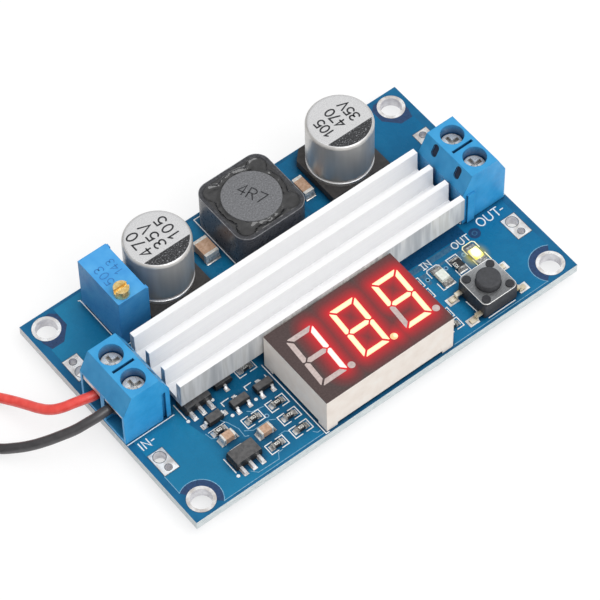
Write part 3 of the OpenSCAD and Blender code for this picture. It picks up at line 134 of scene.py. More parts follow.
class Finish:
    """A Principled material with small helpers for its procedural detail, in millimetres."""

    def __init__(self, name, metal=0, spec=0.5):
        self.mat = bpy.data.materials.new(name)
        self.mat.use_nodes = True
        self.tree = self.mat.node_tree
        self.put("Metallic", metal)
        self.put("Specular IOR Level", spec)
        place = self.node("TexCoord", "Object", {})
        self.mm = self.node("Mapping", "Vector", {"Vector": place, "Scale": (1000, 1000, 1000)})

    def put(self, socket, value):
        join(self.tree, value, self.tree.nodes["Principled BSDF"].inputs[socket])

    def node(self, kind, out, inputs, **settings):
        return add_node(self.tree, kind, out, inputs, **settings)

    def math(self, kind, a, b=0, clamp=False):
        return self.node("Math", 0, {0: a, 1: b}, operation=kind, use_clamp=clamp)

    def vector(self, kind, a, b=(0, 0, 0), out="Vector", **more):
        return self.node("VectorMath", out, {0: a, 1: b, **more}, operation=kind)

    def noise(self, scale, detail=3, stretch=None, rough=0.5):
        place = self.node("Mapping", "Vector", {"Vector": self.mm, "Scale": stretch}) if stretch else self.mm
        return self.node("TexNoise", "Fac", {"Vector": place, "Scale": scale, "Detail": detail, "Roughness": rough})

    def ramp(self, fac, stops):
        """Colour ramp: its stops are written as in "0.3 145d87, 0.7 1d6e9b"."""
        n = self.tree.nodes.new("ShaderNodeValToRGB")
        stops = [stop.split() for stop in stops.split(",")]
        marks = n.color_ramp.elements
        while len(marks) < len(stops):
            marks.new(0.5)
        for mark, (at, code) in zip(marks, stops):
            mark.position = float(at)
            mark.color = rgb(code)
        join(self.tree, fac, n.inputs["Fac"])
        return n.outputs["Color"]

    def spread(self, fac, low, high, from_low=0.3, from_high=0.7):
        return self.node("MapRange", "Result", {"Value": fac, "From Min": from_low, "From Max": from_high,
                                                "To Min": low, "To Max": high})

    def mix(self, fac, a, b, kind="MIX"):
        return self.node("Mix", 2, {"Factor": fac, 6: a, 7: b}, data_type="RGBA", blend_type=kind)

    def facing(self, axis):
        """How far a face looks along an axis of the part, either way."""
        normal = self.node("NewGeometry", "True Normal", {})
        return self.math("ABSOLUTE", self.vector("DOT_PRODUCT", normal, axis, "Value"))

    def shaded(self, tone, shade, distance, low, high):
        """A tone that darkens where little of the space round it is open, as in holes and slots."""
        clear = self.node("AmbientOcclusion", "AO", {"Distance": distance * MM}, samples=6)
        return self.mix(self.spread(clear, 0, 1, low, high), rgb(shade), tone)

    def along(self, axis):
        return self.node("SeparateXYZ", axis, {0: self.mm})

    def away(self, x, y, stretch=1):
        """Distance in plan from a point."""
        off = self.vector("SUBTRACT", self.mm, (x, y, 0))
        return self.vector("LENGTH", self.vector("MULTIPLY", off, (stretch, 1, 0)), out="Value")

    def lamp_halo(self, tone):
        """The lit lamp's yellow on what lies round it."""
        near = self.spread(self.away(*LIT_LAMP), 1, 0, 0.7, 2.4)
        return self.mix(self.math("MULTIPLY", near, near), tone, rgb("d8cc52"))

    def glow(self, colour, strength):
        self.put("Emission Color", colour)
        self.put("Emission Strength", strength)

    def pattern(self, source):
        return self.noise(*source) if isinstance(source, tuple) else source

    def dress(self, tone, wear, span, relief=None, depth=0, strength=1, round_off=0):
        """Colour, roughness that wanders over a span, and relief. Wear and relief are outputs, or what
        noise takes. Gives the material."""
        self.put("Base Color", tone)
        self.put("Roughness", self.spread(self.pattern(wear), *span))
        if relief:
            bump = {"Height": self.pattern(relief), "Distance": depth * MM, "Strength": strength}
            if round_off:
                bump["Normal"] = self.node("Bevel", "Normal", {"Radius": round_off * MM}, samples=4)
            self.put("Normal", self.node("Bump", "Normal", bump))
        return self.mat


def grained(name, grain, stops, wear, span, *relief, metal=0, spec=0.5, sides=None, shade=None, halo=False,
            glow=None):
    """Plain finish: a ramp of colours over a grain. It may carry painted shade by how far a face looks up,
    painted shade where little is open, painted light of the lamp beside it, or a painted glow."""
    f = Finish(name, metal, spec)
    tone = f.ramp(f.noise(*grain), stops)
    if sides:
        tone = f.mix(1, tone, f.ramp(f.facing(UP), sides), "MULTIPLY")
    if shade:
        tone = f.shaded(tone, *shade)
    if halo:
        tone = f.lamp_halo(tone)
    if glow:
        f.glow(f.ramp(f.noise(1.6, 3), glow), 0.35)
    return f.dress(tone, wear, span, *relief)


MASK_SHADE = ("0a2f4c", 1.3, 0.4, 0.95)


def board_bare():
    """Solder mask over bare laminate on the faces, pale glass fibre at the cut edges."""
    f = Finish("mask_bare", spec=0.16)
    mask = f.shaded(f.ramp(f.noise(0.35, 4), "0.3 145d87, 0.7 1d6e9b"), *MASK_SHADE)
    fibre = f.ramp(f.noise(2.2, 5, (0.35, 0.35, 4), 0.7), "0.25 98a3a6, 0.42 d2dcde, 0.62 eef4f5, 0.8 bfc9cb")
    face = f.math("GREATER_THAN", f.facing(UP), 0.5)
    return f.dress(f.mix(face, fibre, mask), (1.5,), (0.28, 0.42), (9, 2), 0.012)


def board_pour():
    """Mask over copper: paler to the left, a painted sheen; darker to the right, painted shade; and deeper in the
    field of small parts.
    """
    f = Finish("mask_over_copper", spec=0.16)
    tone = f.ramp(f.noise(0.09, 3), "0.3 116a98, 0.5 1574a3, 0.72 1f82b0")
    # the second and third tones are painted light: a paler sheen to the left and painted shade to the right
    for share, over in ((f.spread(f.noise(1.1, 4), 0, 0.35), "0f628f"),
                        (f.spread(f.along("X"), 0.32, 0, -34, 4), "2f8fae"),
                        (f.spread(f.along("X"), 0, 0.3, 2, 34), "0b5c88"),
                        (f.spread(f.away(-17, -12), 0.45, 0, 5.5, 9), "0d4468")):
        tone = f.mix(share, tone, rgb(over))
    return f.dress(f.lamp_halo(f.shaded(tone, *MASK_SHADE)), (0.8,), (0.2, 0.36), (7, 3), 0.01)


def board_line(name, low, high, rough=0.3):
    return grained(name, (2.5, 3), f"0.35 {low}, 0.65 {high}", (4,), (rough - 0.05, rough + 0.12),
                   spec=0.4, halo=True)


def tin(name, dark, light, rough=0.3, metal=0.6, shade=None):
    return grained(name, (0.8, 2), f"0.3 {dark}, 0.65 {light}", (1.4, 2), (rough - 0.06, rough + 0.12),
                   (1.1, 2), 0.02, 0.4, metal=metal, shade=shade and (shade, 0.8, 0.3, 0.8))


def plated(name, dark, light, rough=0.2, metal=1):
    """Plated metal, with painted shade in its slots."""
    return grained(name, (1.8, 3), f"0.28 {dark}, 0.5 {light}, 0.8 fbfbfa", (1.5, 2), (rough - 0.06, rough + 0.1),
                   (1.4, 2), 0.008, 0.3, metal=metal, shade=("a29f9b", 0.7, 0.3, 0.8))


def ferrite(name, stops, grain, rough, depth):
    return grained(name, (grain, 5, None, 0.75), stops, (2.2, 3), (rough - 0.1, rough + 0.12),
                   (grain, 4), depth, 0.8, 0.12, spec=0.4)


def end_cap(name, stops):
    return grained(name, (3, 4), stops, (5,), (0.3, 0.5), (6, 3), 0.02, 0.8, 0.08, metal=0.45)


def pvc(name, stops, shade):
    return grained(name, (0.8, 4), stops, (1.5, 2), (0.28, 0.4), (3, 2), 0.01, 0.5,
                   spec=0.9, shade=(shade, 3, 0.2, 0.75))


def aluminium_sink():
    """Extruded bar: fine lines along its length, cloudy cross bands on its outer sides, and painted shade."""
    f = Finish("extruded_aluminium", metal=0.04)
    lines = f.noise(2.2, 2, (0.012, 3, 3), 0.4)
    along = f.ramp(lines, "0.25 f6f6f8, 0.42 fdfdfe, 0.7 ffffff")
    bands = f.ramp(f.noise(0.42, 3, (1, 0.02, 0.1), 0.55),
                   "0.3 c0c3c6, 0.42 d8dadc, 0.5 f4f5f5, 0.57 e2e2e0, 0.66 fcfcfc")
    # Painted shade: the outer sides darker towards the left end
    bands = f.mix(f.spread(f.along("X"), 0.34, 0, -26, 16), bands, rgb("6f7276"))
    # Painted shade: the end faces darker than the rest
    ends = f.ramp(f.noise(1.6, 4, (1, 1, 0.3)), "0.35 8d949d, 0.65 d2d6da")
    outside = f.math("GREATER_THAN", f.math("ABSOLUTE", f.along("Y")), 5.55)
    side = f.math("MULTIPLY", outside, f.math("GREATER_THAN", f.facing((0, 1, 0)), 0.9))
    end = f.math("GREATER_THAN", f.facing((1, 0, 0)), 0.9)
    return f.dress(f.mix(end, f.mix(side, along, bands), ends), lines, (0.3, 0.44), lines, 0.006, 0.3)


def black_moulding(name, base, light, rough=0.5, side="ffffff"):
    # Painted shade: the side tone darkens faces that look sideways, against the top
    return grained(name, (2.2, 4), f"0.3 {base}, 0.75 {light}", (6, 3), (rough - 0.08, rough + 0.12),
                   (16, 2), 0.012, 1, 0.05, spec=0.4, sides=f"0.3 {side}, 0.8 ffffff")


def blue_plastic(name, stops, rough, round_off, sides, hollow=None):
    # Painted shade: the sides ramp tones faces by how far they look up, and the hollow colour darkens wells and slots
    return grained(name, (0.45, 4), stops, (2.4, 4), (rough - 0.06, rough + 0.12), (8, 3), 0.014, 0.8, round_off,
                   spec=0.45, sides=sides, shade=hollow and (hollow, 4.5, 0.14, 0.58))


def can_aluminium():
    """Drawn can: bright skin with faint drawing marks up the side and a grainy printed top."""
    f = Finish("drawn_aluminium", metal=0.62)
    grain = f.noise(7.5, 4, rough=0.75)
    top = f.ramp(grain, "0.3 c4c4c6, 0.5 e2e2e3, 0.72 f8f8f8")
    marks = f.ramp(f.noise(0.7, 2, (1, 1, 0.1)), "0.3 c6c4c1, 0.5 d0cecb, 0.75 dad8d5")
    tone = f.mix(f.math("GREATER_THAN", f.facing(UP), 0.8), marks, top)
    return f.dress(tone, (3, 3), (0.3, 0.42), grain, 0.006, 0.5)


def shield_ferrite():
    """Ferrite shield: a ground top rim, and sides lighter than it by painted light."""
    f = Finish("shield_ferrite", spec=0.4)
    grain = f.noise(3, 5, rough=0.75)
    rim = f.ramp(grain, "0.3 2a2b2e, 0.5 3d3e42, 0.72 595a5e")
    side = f.ramp(grain, "0.3 3d3e42, 0.5 53545a, 0.72 6e6f74")
    tone = f.mix(f.spread(f.facing(UP), 0, 1, 0.3, 0.8), side, rim)
    return f.dress(tone, (1.6, 2), (0.24, 0.38), grain, 0.02, 0.6, 0.3)


# Digits of the meter: middles and what is lit on each, and the ends of the segments' middle lines
DIGITS = ((-7.25, "bc"), (0.25, "abcdefgp"), (7.75, "abcdfg"))
METER_Y = -13.1
LEAN = tan(radians(4))
SEGMENT_ENDS = {"a": (-1.9, 4.1, 1.9, 4.1), "b": (1.9, 0.3, 1.9, 4), "c": (1.9, -4, 1.9, -0.3),
                "d": (-1.9, -4.1, 1.9, -4.1), "e": (-1.9, -4, -1.9, -0.3), "f": (-1.9, 0.3, -1.9, 4),
                "g": (-1.7, 0, 1.7, 0), "p": (3.05, -4.2, 3.06, -4.2)}
FIRST_DIGIT_END = -3.4


def lit_lines():
    for x, on in DIGITS:
        for key in on:
            x0, y0, x1, y1 = SEGMENT_ENDS[key]
            lean = 0 if key == "p" else LEAN
            yield (x + x0 + y0 * lean, METER_Y + y0), (x + x1 + y1 * lean, METER_Y + y1)


def distance_to_lit(f):
    """Distance in millimetres, in plan, from the nearest lit segment's line."""
    flat = f.vector("MULTIPLY", f.mm, (1, 1, 0))
    nearest = None
    for a, b in lit_lines():
        along = (b[0] - a[0], b[1] - a[1], 0)
        square = along[0] ** 2 + along[1] ** 2
        out = f.vector("SUBTRACT", flat, (*a, 0))
        share = f.math("DIVIDE", f.vector("DOT_PRODUCT", out, along, "Value"), square, clamp=True)
        step = f.vector("SCALE", along, Scale=share)
        gap = f.vector("LENGTH", f.vector("SUBTRACT", out, step), out="Value")
        nearest = gap if nearest is None else f.math("MINIMUM", nearest, gap)
    return nearest


def face_film():
    """Dark film over the meter, with a painted red glow round the lit segments."""
    f = Finish("meter_film", spec=0.35)
    away = f.spread(distance_to_lit(f), 0, 1, 0.35, 3.2)
    grain = f.noise(3.5, 4)
    dark = f.ramp(grain, "0.3 473a39, 0.7 544645")
    tone = f.mix(f.ramp(away, "0 ffffff, 0.5 c0c0c0, 1 000000"), dark, rgb("6e161c"))
    f.glow(f.ramp(away, "0 e8242f, 0.1 c01822, 0.35 8c121a, 0.6 520a0f, 1 0c0101"), 0.8)
    return f.dress(tone, grain, (0.28, 0.42), (14, 2), 0.01)


def lit_plastic():
    """Lit segments: warm, and paler on the first digit."""
    f = Finish("lit_segment", spec=0.3)
    f.put("Roughness", 0.4)
    core = f.spread(distance_to_lit(f), 0, 1, 0, 0.55)
    warm = f.ramp(core, "0 fff3cf, 0.5 ffe9b4, 0.85 ffb070")
    pale = f.ramp(core, "0 fffafa, 0.5 fff0f0, 0.85 ff9a9a")
    f.put("Base Color", f.ramp(f.noise(3), "0.3 b08a70, 0.7 c09a80"))
    f.glow(f.mix(f.math("LESS_THAN", f.along("X"), FIRST_DIGIT_END), warm, pale), 0.9)
    return f.mat


def lamp_lens(name, base, light, glow=None):
    return grained(name, (2.4, 3), f"0.3 {base}, 0.7 {light}", (4,), (0.14, 0.3), (5, 3), 0.02, 0.8, 0.06, glow=glow)


def lamp_lit():
    """Lit lens: white over the chip in its middle, yellow at its edges."""
    f = Finish("lamp_on", spec=0.4)
    away = f.spread(f.away(*LIT_LAMP, 1.25), 0, 1, 0.3, 1.1)
    wavy = f.math("ADD", away, f.spread(f.noise(2.5, 2), -0.08, 0.08))
    f.glow(f.ramp(wavy, "0 fffef6, 0.5 fffde2, 0.8 fbf2a0, 1 e2d25a"), 0.85)
    tone = f.ramp(wavy, "0 fbf8d8, 0.6 f4ec94, 1 e0d260")
    return f.dress(tone, (4,), (0.16, 0.32), (5, 3), 0.015, 0.6)


def metal_cover():
    """Brushed cover, with a painted reflection that makes it brighter towards the far corner."""
    f = Finish("pressed_cover", metal=0.85)
    brush = f.noise(6, 5, (0.25, 2.2, 1), 0.7)
    near = f.ramp(brush, "0.28 68696c, 0.5 858789, 0.75 b2b3b4")
    far = f.ramp(brush, "0.28 a0a2a4, 0.5 c2c4c5, 0.75 e2e3e4")
    across = f.math("ADD", f.along("X"), f.along("Y"))
    return f.dress(f.mix(f.spread(across, 0, 1, 4.6, 9.4), near, far), brush, (0.26, 0.44), brush, 0.01, 0.5)


# Looks of the solids, each with the nodes that have it
TIN = tin("tinned", "e0dfe2", "fefefe")
SOLDER = tin("solder", "8b8885", "f6f4f1", 0.2)
SCREW = plated("plated_screw", "e9e8e6", "fdfcfa", 0.24, 0.5)
CHIP_END = end_cap("resistor_end_cap", "0.3 6f6d6a, 0.55 a9a7a3, 0.8 fbfaf7")
LOOKS = {
    board_bare(): "pcb",
    tin("tinned_lands", "c9c3bf", "ffffff", 0.3, 0.3, "6b6663"): "tinned_pads",
    TIN: "mosfet_leadframe diode_leadframe controller_leads trimmer_pins capacitor_leads inductor_terminals "
         "transistor_leads regulator_leads display_pins input_terminal_contacts output_terminal_contacts "
         "lead_conductors",
    SOLDER: "solder_joints",
    tin("bright_leads", "b9a57a", "fff8e6", 0.22, 0.6, "4c3f2d"): "button_leads",
    aluminium_sink(): "heatsink",
    black_moulding("thermal_rubber", "45474c", "55575c", 0.7): "thermal_pad",
    # Painted shade: the packages' sides darker than their tops
    black_moulding("package_body", "4b4a4b", "686767", 0.46, "747474"):
        "mosfet_body diode_body controller_body transistor_bodies regulator_bodies",
    black_moulding("capacitor_base", "3a3838", "4a4847", 0.55): "input_capacitor_base output_capacitor_base",
    black_moulding("resistor_glaze", "232325", "343436", 0.3): "resistor_bodies",
    black_moulding("switch_moulding", "2b2c30", "3a3b3f"): "button_housing",
    black_moulding("plunger_moulding", "3d3e41", "4b4c50"): "button_plunger",
    # Painted shade: tops and slopes darker than the upright sides, and dark in the wells and slots
    blue_plastic("terminal_plastic", "0.28 2f9fe0, 0.5 3aabea, 0.75 48b5f2", 0.4, 0.14,
                 "0 ffffff, 0.36 ffffff, 0.43 dedede, 1 ececec", "0a3462"):
        "input_terminal_housing output_terminal_housing",
    # Painted shade: sides darker than the top
    blue_plastic("trimmer_plastic", "0.28 3b97dd, 0.5 47a4e6, 0.75 57b0ec", 0.46, 0.12,
                 "0 d6d6d6, 0.5 ffffff"): "trimmer_body",
    SCREW: "input_positive_screw input_negative_screw output_positive_screw output_negative_screw button_dome",
    plated("plated_clamp", "a89a94", "d0c4bf", 0.26):
        "input_positive_clamp input_negative_clamp output_positive_clamp output_negative_clamp",
    grained("brass", (2.2, 4), "0.3 cfa75f, 0.5 ebcb84, 0.75 fbeabb", (4,), (0.2, 0.4), (4, 2), 0.01, 0.5,
            metal=0.75): "trimmer_screw",
    can_aluminium(): "input_capacitor_can output_capacitor_can",
    shield_ferrite(): "inductor_shield",
    ferrite("drum_ferrite", "0.3 58595c, 0.5 727376, 0.72 949599", 4.2, 0.46, 0.05): "inductor_drum",
    plated("enamelled_wire", "8a4a25", "b86b3a", 0.3): "inductor_winding",
    grained("fired_ceramic", (2.6, 4), "0.3 b58f74, 0.55 c9a68c, 0.8 d8bba4", (4,), (0.36, 0.56),
            (9, 3), 0.012, 0.8, 0.08, spec=0.4): "ceramic_capacitor_bodies",
    end_cap("end_cap", "0.3 cfcac0, 0.55 efede8, 0.8 fbfaf7"): "ceramic_capacitor_ends",
    CHIP_END: "resistor_ends",
    lamp_lens("lamp_base", "cfcaba", "e2ddd0"): "lamp_bases",
    lamp_lens("lamp_off", "e2e9dc", "f8fbf4"): "input_lamp_lens",
    lamp_lit(): "output_lamp_lens",
    grained("meter_case", (0.5, 5), "0.3 f7ece2, 0.55 fdf4eb, 0.8 fffaf3", (4, 3), (0.42, 0.6),
            (10, 3), 0.012, 0.8, 0.1, spec=0.35): "display_housing",
    face_film(): "display_face",
    lit_plastic(): "display_lit_segments",
    grained("unlit_segment", (2.4, 4), "0.3 bcaaa6, 0.6 cdbcb8, 0.8 d8c9c5", (4,), (0.34, 0.52), (9, 3), 0.01,
            spec=0.35): "display_unlit_segments",
    metal_cover(): "button_cover",
}
for look, names in LOOKS.items():
    for name in names.split():
        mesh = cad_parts[name].data
        mesh.materials.clear()
        mesh.materials.append(look)

# Looks of the pieces that are made here
POUR = board_pour()
# pale lines at the copper's edges, partly a painted sheen
EDGE_LINE = board_line("mask_edge", "5f9dc2", "8dbbd6")
# painted shade along the pads' edges and round their holes
PAD_SHADE = board_line("pad_shade", "4c5359", "6a7076")
BAND = board_line("mask_track", "31638a", "457795")
DARK = board_line("mask_clear", "1d3a60", "264672")
# painted shade of the heatsink on the board in front of it
HEATSINK_SHADE = board_line("heatsink_shade_mask", "0e476f", "13507c")
SILK = grained("white_ink", (7, 4), "0.3 cfdbe4, 0.42 eef1f3, 0.8 fbfbfb", (5,), (0.5, 0.7), (12, 3), 0.008, spec=0.3)
# Print round the lit lamp: painted light, yellowed and glowing with the lamp's light
LIT_INK = lamp_lens("lit_ink", "f3f0c8", "fbf8e2", "0.3 d9c93a, 0.7 efe48a")
INK = board_line("grey_ink", "1f2023", "38393d", 0.5)
BLUE_INK = board_line("sunk_lettering", "2f74b8", "3a82c6", 0.5)
CODE = board_line("code_ink", "dddcd6", "f6f5f0", 0.5)
# Sparkles where the can's grain shows through
PRINT = grained("can_print", (4.5, 3, None, 0.8), "0.42 1d1e20, 0.56 38393c, 0.62 77787c, 0.68 d9dbde",
                (6,), (0.3, 0.6), (6, 3), 0.015)
# painted shade in the probe slots
SLOT_SHADE = board_line("slot_shade", "0b1a33", "10233f", 0.6)
GUARD = tin("tinned_guard", "c3b4b0", "eadfdc", 0.34)
BARREL = tin("hole_wall", "cdcbd0", "f4f3f6", 0.34, 0.4)
# painted highlight along the top edge of the inductor's shield
SHIELD_HIGHLIGHT = ferrite("shield_highlight", "0.3 5c5d60, 0.5 87888c, 0.72 b3b4b8", 1.2, 0.24, 0.01)
LACQUER = grained("dark_lacquer", (1.1, 3), "0.35 111113, 0.6 1b1b1d, 0.8 303032", (1.2, 2), (0.05, 0.16),
                  (0.9, 2), 0.25, 0.8, spec=1)
RED = pvc("red_pvc", "0.3 f03c34, 0.55 fd4d43, 0.8 ff6a60", "9c1a16")
BLACK = pvc("black_pvc", "0.3 29272a, 0.55 363336, 0.8 454245", "161517")
TIE = pvc("tie_pvc", "0.3 c9c7c2, 0.55 dedcd6, 0.8 efeeea", "8f8d88")


# Pieces

def mesh_piece(name, verts, faces, look, smooth=False):
    data = bpy.data.meshes.new(name)
    data.from_pydata([Vector(v) * MM for v in verts], [], faces)
    data.update()
    if smooth:
        data.shade_smooth()
    data.materials.append(look)
    piece = add_object(name, data)
    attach(piece, "board")
    return piece


def net(first, rows, cols, round_rows=False, round_cols=False):
    """Faces between the rows of a net of points, which may close on itself."""
    for i in range(rows if round_rows else rows - 1):
        for j in range(cols if round_cols else cols - 1):
            near, far = first + i * cols, first + (i + 1) % rows * cols
            beside = (j + 1) % cols
            yield near + j, far + j, far + beside, near + beside


def turned_over(faces):
    return [(a, d, c, b) for a, b, c, d in faces]


# Input leads: routed runs as in the part's source, then a flat coil outside the view
LEAD_D = 1.5
LEAD_R = LEAD_D / 2
LEAD_LENGTH = 120.0
BARE_D = 1.0
TURN_DROP = 1.65  # how far each turn of a coil lies inside the one before
COIL_STEP = radians(20)
RED_RUN = pts(
    "-32.4 2.5 7.3, -34 2.5 7.3, -35.4 2.9 7.2, -36.8 3.5 6.8, -38.2 4.3 6.1, -39.4 5.5 5.3, -40.2 7.1 4.5, "
    "-40.8 9 3.6, -41.6 11.3 2.6, -42.8 13.8 1.7, -44.6 16.4 1, -47 19 0.75, -50 21.7 0.75, -53.2 24.6 0.75, "
    "-56.3 28.5 0.75")
BLACK_RUN = pts(
    "-32.4 -1.1 7.3, -32.9 -1.1 7.3, -33.7 -1.1 8.1, -34.9 -1.1 8.2, -36.2 -1 8, -37.5 -0.7 7.6, -39 -0.2 6.9, "
    "-40.8 0.8 5.9, -42.7 2 4.8, -44.5 3.4 3.7, -46.1 5 2.7, -47.6 6.9 1.7, -48.7 9.3 1, -49.5 11.9 0.75, "
    "-50.3 14.6 0.75, -51.3 17.6 0.75")


def along_route(points, steps=12):
    """Points of a smooth line through the given ones."""
    out = []
    for i in range(len(points) - 1):
        p0 = points[max(i - 1, 0)]
        p1, p2 = points[i], points[i + 1]
        p3 = points[min(i + 2, len(points) - 1)]
        for k in range(steps):
            t = k / steps
            out.append(0.5 * ((2 * p1) + (p2 - p0) * t + (2 * p0 - 5 * p1 + 4 * p2 - p3) * t ** 2
                              + (3 * p1 - p0 - 3 * p2 + p3) * t ** 3))
    return out + [points[-1]]


def run_length(points):
    return sum((b - a).length for a, b in zip(points, points[1:]))


def coil_points(centre, radius, angle, way, length):
    """Flat coil that winds inwards from the end of a run, of the given length."""
    def at(k):
        turned = COIL_STEP * k
        r = radius - TURN_DROP * turned / (2 * pi)
        a = angle + way * turned
        return Vector((centre[0] + r * cos(a), centre[1] + r * sin(a), LEAD_R))

    points = [at(0)]
    while run_length(points) < length:
        points.append(at(len(points)))
    return points[1:]


def tube(name, points, diameter, look):
    data = bpy.data.curves.new(name, "CURVE")
    data.dimensions = "3D"
    data.bevel_depth = diameter / 2 * MM
    data.bevel_resolution = data.resolution_u = 6
    data.use_fill_caps = True
    line = data.splines.new("BEZIER")
    line.bezier_points.add(len(points) - 1)
    for knot, p in zip(line.bezier_points, points):
        knot.co = p * MM
        knot.handle_left_type = knot.handle_right_type = "AUTO"
    data.materials.append(look)
    piece = add_object(name, data)
    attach(piece, "board")
    return piece


def tie_band(name, centre, angle, inner, outer):
    """Soft band round the turns of a coil, flat under them."""
    verts = []
    mid, half = (inner + outer) / 2, (outer - inner) / 2
    half_width, thick, n = 0.9, 0.22, 28
    rings = ((-half_width, 0), (-half_width, thick), (half_width, thick), (half_width, 0))
    for side, grow in rings:
        for k in range(n):
            t = 2 * pi * k / n
            c, s = cos(t), sin(t)
            out = mid + copysign(abs(c) ** 0.55, c) * (half + grow)
            z = LEAD_R + 0.02 + copysign(abs(s) ** 0.6, s) * (LEAD_R + 0.03 + grow)
            verts.append((centre[0] + out * cos(angle) - side * sin(angle),
                          centre[1] + out * sin(angle) + side * cos(angle), max(z, 0.03)))
    faces = turned_over(net(0, len(rings), n, True, True))
    return mesh_piece(name, verts, faces, TIE, smooth=True)


def make_lead(name, run, centre, way, look, nodes):
    run = [Vector(p) for p in run]
    off = run[-1].xy - Vector(centre)
    radius, angle = off.length, atan2(off.y, off.x)
    coil = coil_points(centre, radius, angle, way, LEAD_LENGTH - run_length(along_route(run)))
    over = run_length(along_route(run + coil)) - LEAD_LENGTH
    coil[-1] += (coil[-2] - coil[-1]) * (over / (coil[-1] - coil[-2]).length)
    piece = tube(name, run + coil, LEAD_D, look)
    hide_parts(*nodes)
    ahead = (coil[-1] - coil[-2]).normalized()
    bare = tube(name + "_bare_end", [coil[-1] + ahead * far for far in (-0.6, 1.2, 2.6, 4)], BARE_D, SOLDER)
    band = tie_band(name + "_tie", centre, angle + way * radians(24), radius - TURN_DROP - 1.05, radius + LEAD_R)


make_lead("red_input_lead", RED_RUN, (-46, 33), -1, RED, ("red_lead", "lead_coils"))
make_lead("black_input_lead", BLACK_RUN, (-61, 12), 1, BLACK, ("black_lead",))


# Flat shapes on a face: lines with round ends, discs, rings and stroke lettering

def arc(x, y, rx, ry, start, end, steps=10):
    turns = [radians(start + (end - start) * k / steps) for k in range(steps + 1)]
    return [(x + rx * cos(t), y + ry * sin(t)) for t in turns]


def round_hole(x, y, r, n=32):
    return [(x + r * cos(2 * pi * k / n), y + r * sin(2 * pi * k / n)) for k in range(n)]


# Letters of height 1: width, and strokes
LETTERS = {
    "0": (0.6, [arc(0.3, 0.5, 0.3, 0.5, 0, 360, 20)]),
    "1": (0.4, [pts("0.05 0.78, 0.3 1, 0.3 0")]),
    "2": (0.6, [arc(0.3, 0.7, 0.3, 0.3, 170, -35) + pts("0 0, 0.6 0")]),
    "3": (0.6, [arc(0.28, 0.75, 0.28, 0.25, 150, -90) + arc(0.28, 0.26, 0.31, 0.26, 90, -150)]),
    "4": (0.62, [pts("0.45 0, 0.45 1, 0 0.3, 0.62 0.3")]),
    "5": (0.6, [pts("0.55 1, 0.08 1, 0.04 0.56") + arc(0.28, 0.33, 0.31, 0.33, 130, -145)]),
    "7": (0.6, [pts("0 1, 0.6 1, 0.22 0")]),
    "R": (0.62, [pts("0 0, 0 1") + arc(0.3, 0.75, 0.3, 0.25, 90, -90) + pts("0 0.5"), pts("0.3 0.5, 0.62 0")]),
    "V": (0.7, [pts("0 1, 0.35 0, 0.7 1")]),
    "I": (0.2, [pts("0.1 0, 0.1 1")]),
    "i": (0.44, [pts("0.22 0, 0.22 1"), pts("0 0, 0.44 0"), pts("0 1, 0.44 1")]),
    "N": (0.66, [pts("0 0, 0 1, 0.66 0, 0.66 1")]),
    "O": (0.82, [arc(0.41, 0.5, 0.41, 0.5, 0, 360, 24)]),
    "U": (0.68, [pts("0 1, 0 0.34") + arc(0.34, 0.34, 0.34, 0.34, 180, 360) + pts("0.68 1")]),
    "T": (0.7, [pts("0 1, 0.7 1"), pts("0.35 1, 0.35 0")]),
    "-": (0.4, [pts("0.04 0.46, 0.36 0.46")]),
    "+": (0.5, [pts("0.02 0.46, 0.48 0.46"), pts("0.25 0.24, 0.25 0.7")]),
}


class Flat:
    """Collects flat shapes at one height and makes one piece of them.
    Shapes that cross lie a hair apart, so that no two faces share a plane."""

    def __init__(self, z):
        self.z, self.count = z, 0
        self.verts, self.faces = [], []

    def level(self):
        self.count += 1
        return self.z + self.count % 6 * HAIR

    def area(self, points, z=None):
        z = self.level() if z is None else z
        first = len(self.verts)
        self.verts += [(x, y, z) for x, y in points]
        self.faces.append(range(first, first + len(points)))

    def disc(self, x, y, r, n=20):
        self.area(round_hole(x, y, r, n))

    def ring(self, x, y, r0, r1, n=36):
        self.line(round_hole(x, y, (r0 + r1) / 2, n) + [(x + (r0 + r1) / 2, y)], r1 - r0)

    def line(self, points, w):
        """Strip along a line; a line that ends where it starts has no ends."""
        points = [Vector(p) for k, p in enumerate(points) if k == 0 or Vector(p) != Vector(points[k - 1])]
        closed = len(points) > 2 and (points[0] - points[-1]).length < 1e-6
        if closed:
            points = points[:-1]
        n = len(points)
        spans = range(n if closed else n - 1)
        z = self.level()
        ways = [(points[(k + 1) % n] - points[k]).normalized() for k in spans]
        sides = [Vector((-d.y, d.x)) for d in ways]
        left, right = [], []
        for k in range(n):
            before = sides[k - 1] if closed or k > 0 else sides[0]
            after = sides[k] if closed or k < n - 1 else sides[-1]
            out = before + after
            out = out / max(out.length, 1e-6)
            out = out / max(out.dot(after), 0.45) * w / 2
            left.append(points[k] + out)
            right.append(points[k] - out)
        for k in spans:
            j = (k + 1) % n
            self.area([right[k], right[j], left[j], left[k]], z)
        if not closed:
            for at, out in ((points[0], sides[0]), (points[-1], -sides[-1])):
                ahead = Vector((-out.y, out.x))
                self.area([at + (out * cos(t) + ahead * sin(t)) * w / 2
                           for t in (pi * k / 6 for k in range(7))], z)

    def text(self, words, x, y, h, w, angle=0, space=0.28):
        """Stroke lettering from its lower left corner."""
        c, s = cos(radians(angle)), sin(radians(angle))
        at = 0
        for letter in words:
            width, strokes = LETTERS[letter]
            for stroke in strokes:
                self.line([(x + ((at + u) * c - v * s) * h, y + ((at + u) * s + v * c) * h) for u, v in stroke], w)
            at += width + space

    def piece(self, name, look, slot):
        mesh_piece(name, self.verts, self.faces, look)


def lettering(name, z, rows, look, slot, **more):
    ink = Flat(z)
    for row in rows:
        ink.text(*row, **more)
    ink.piece(name, look, slot)


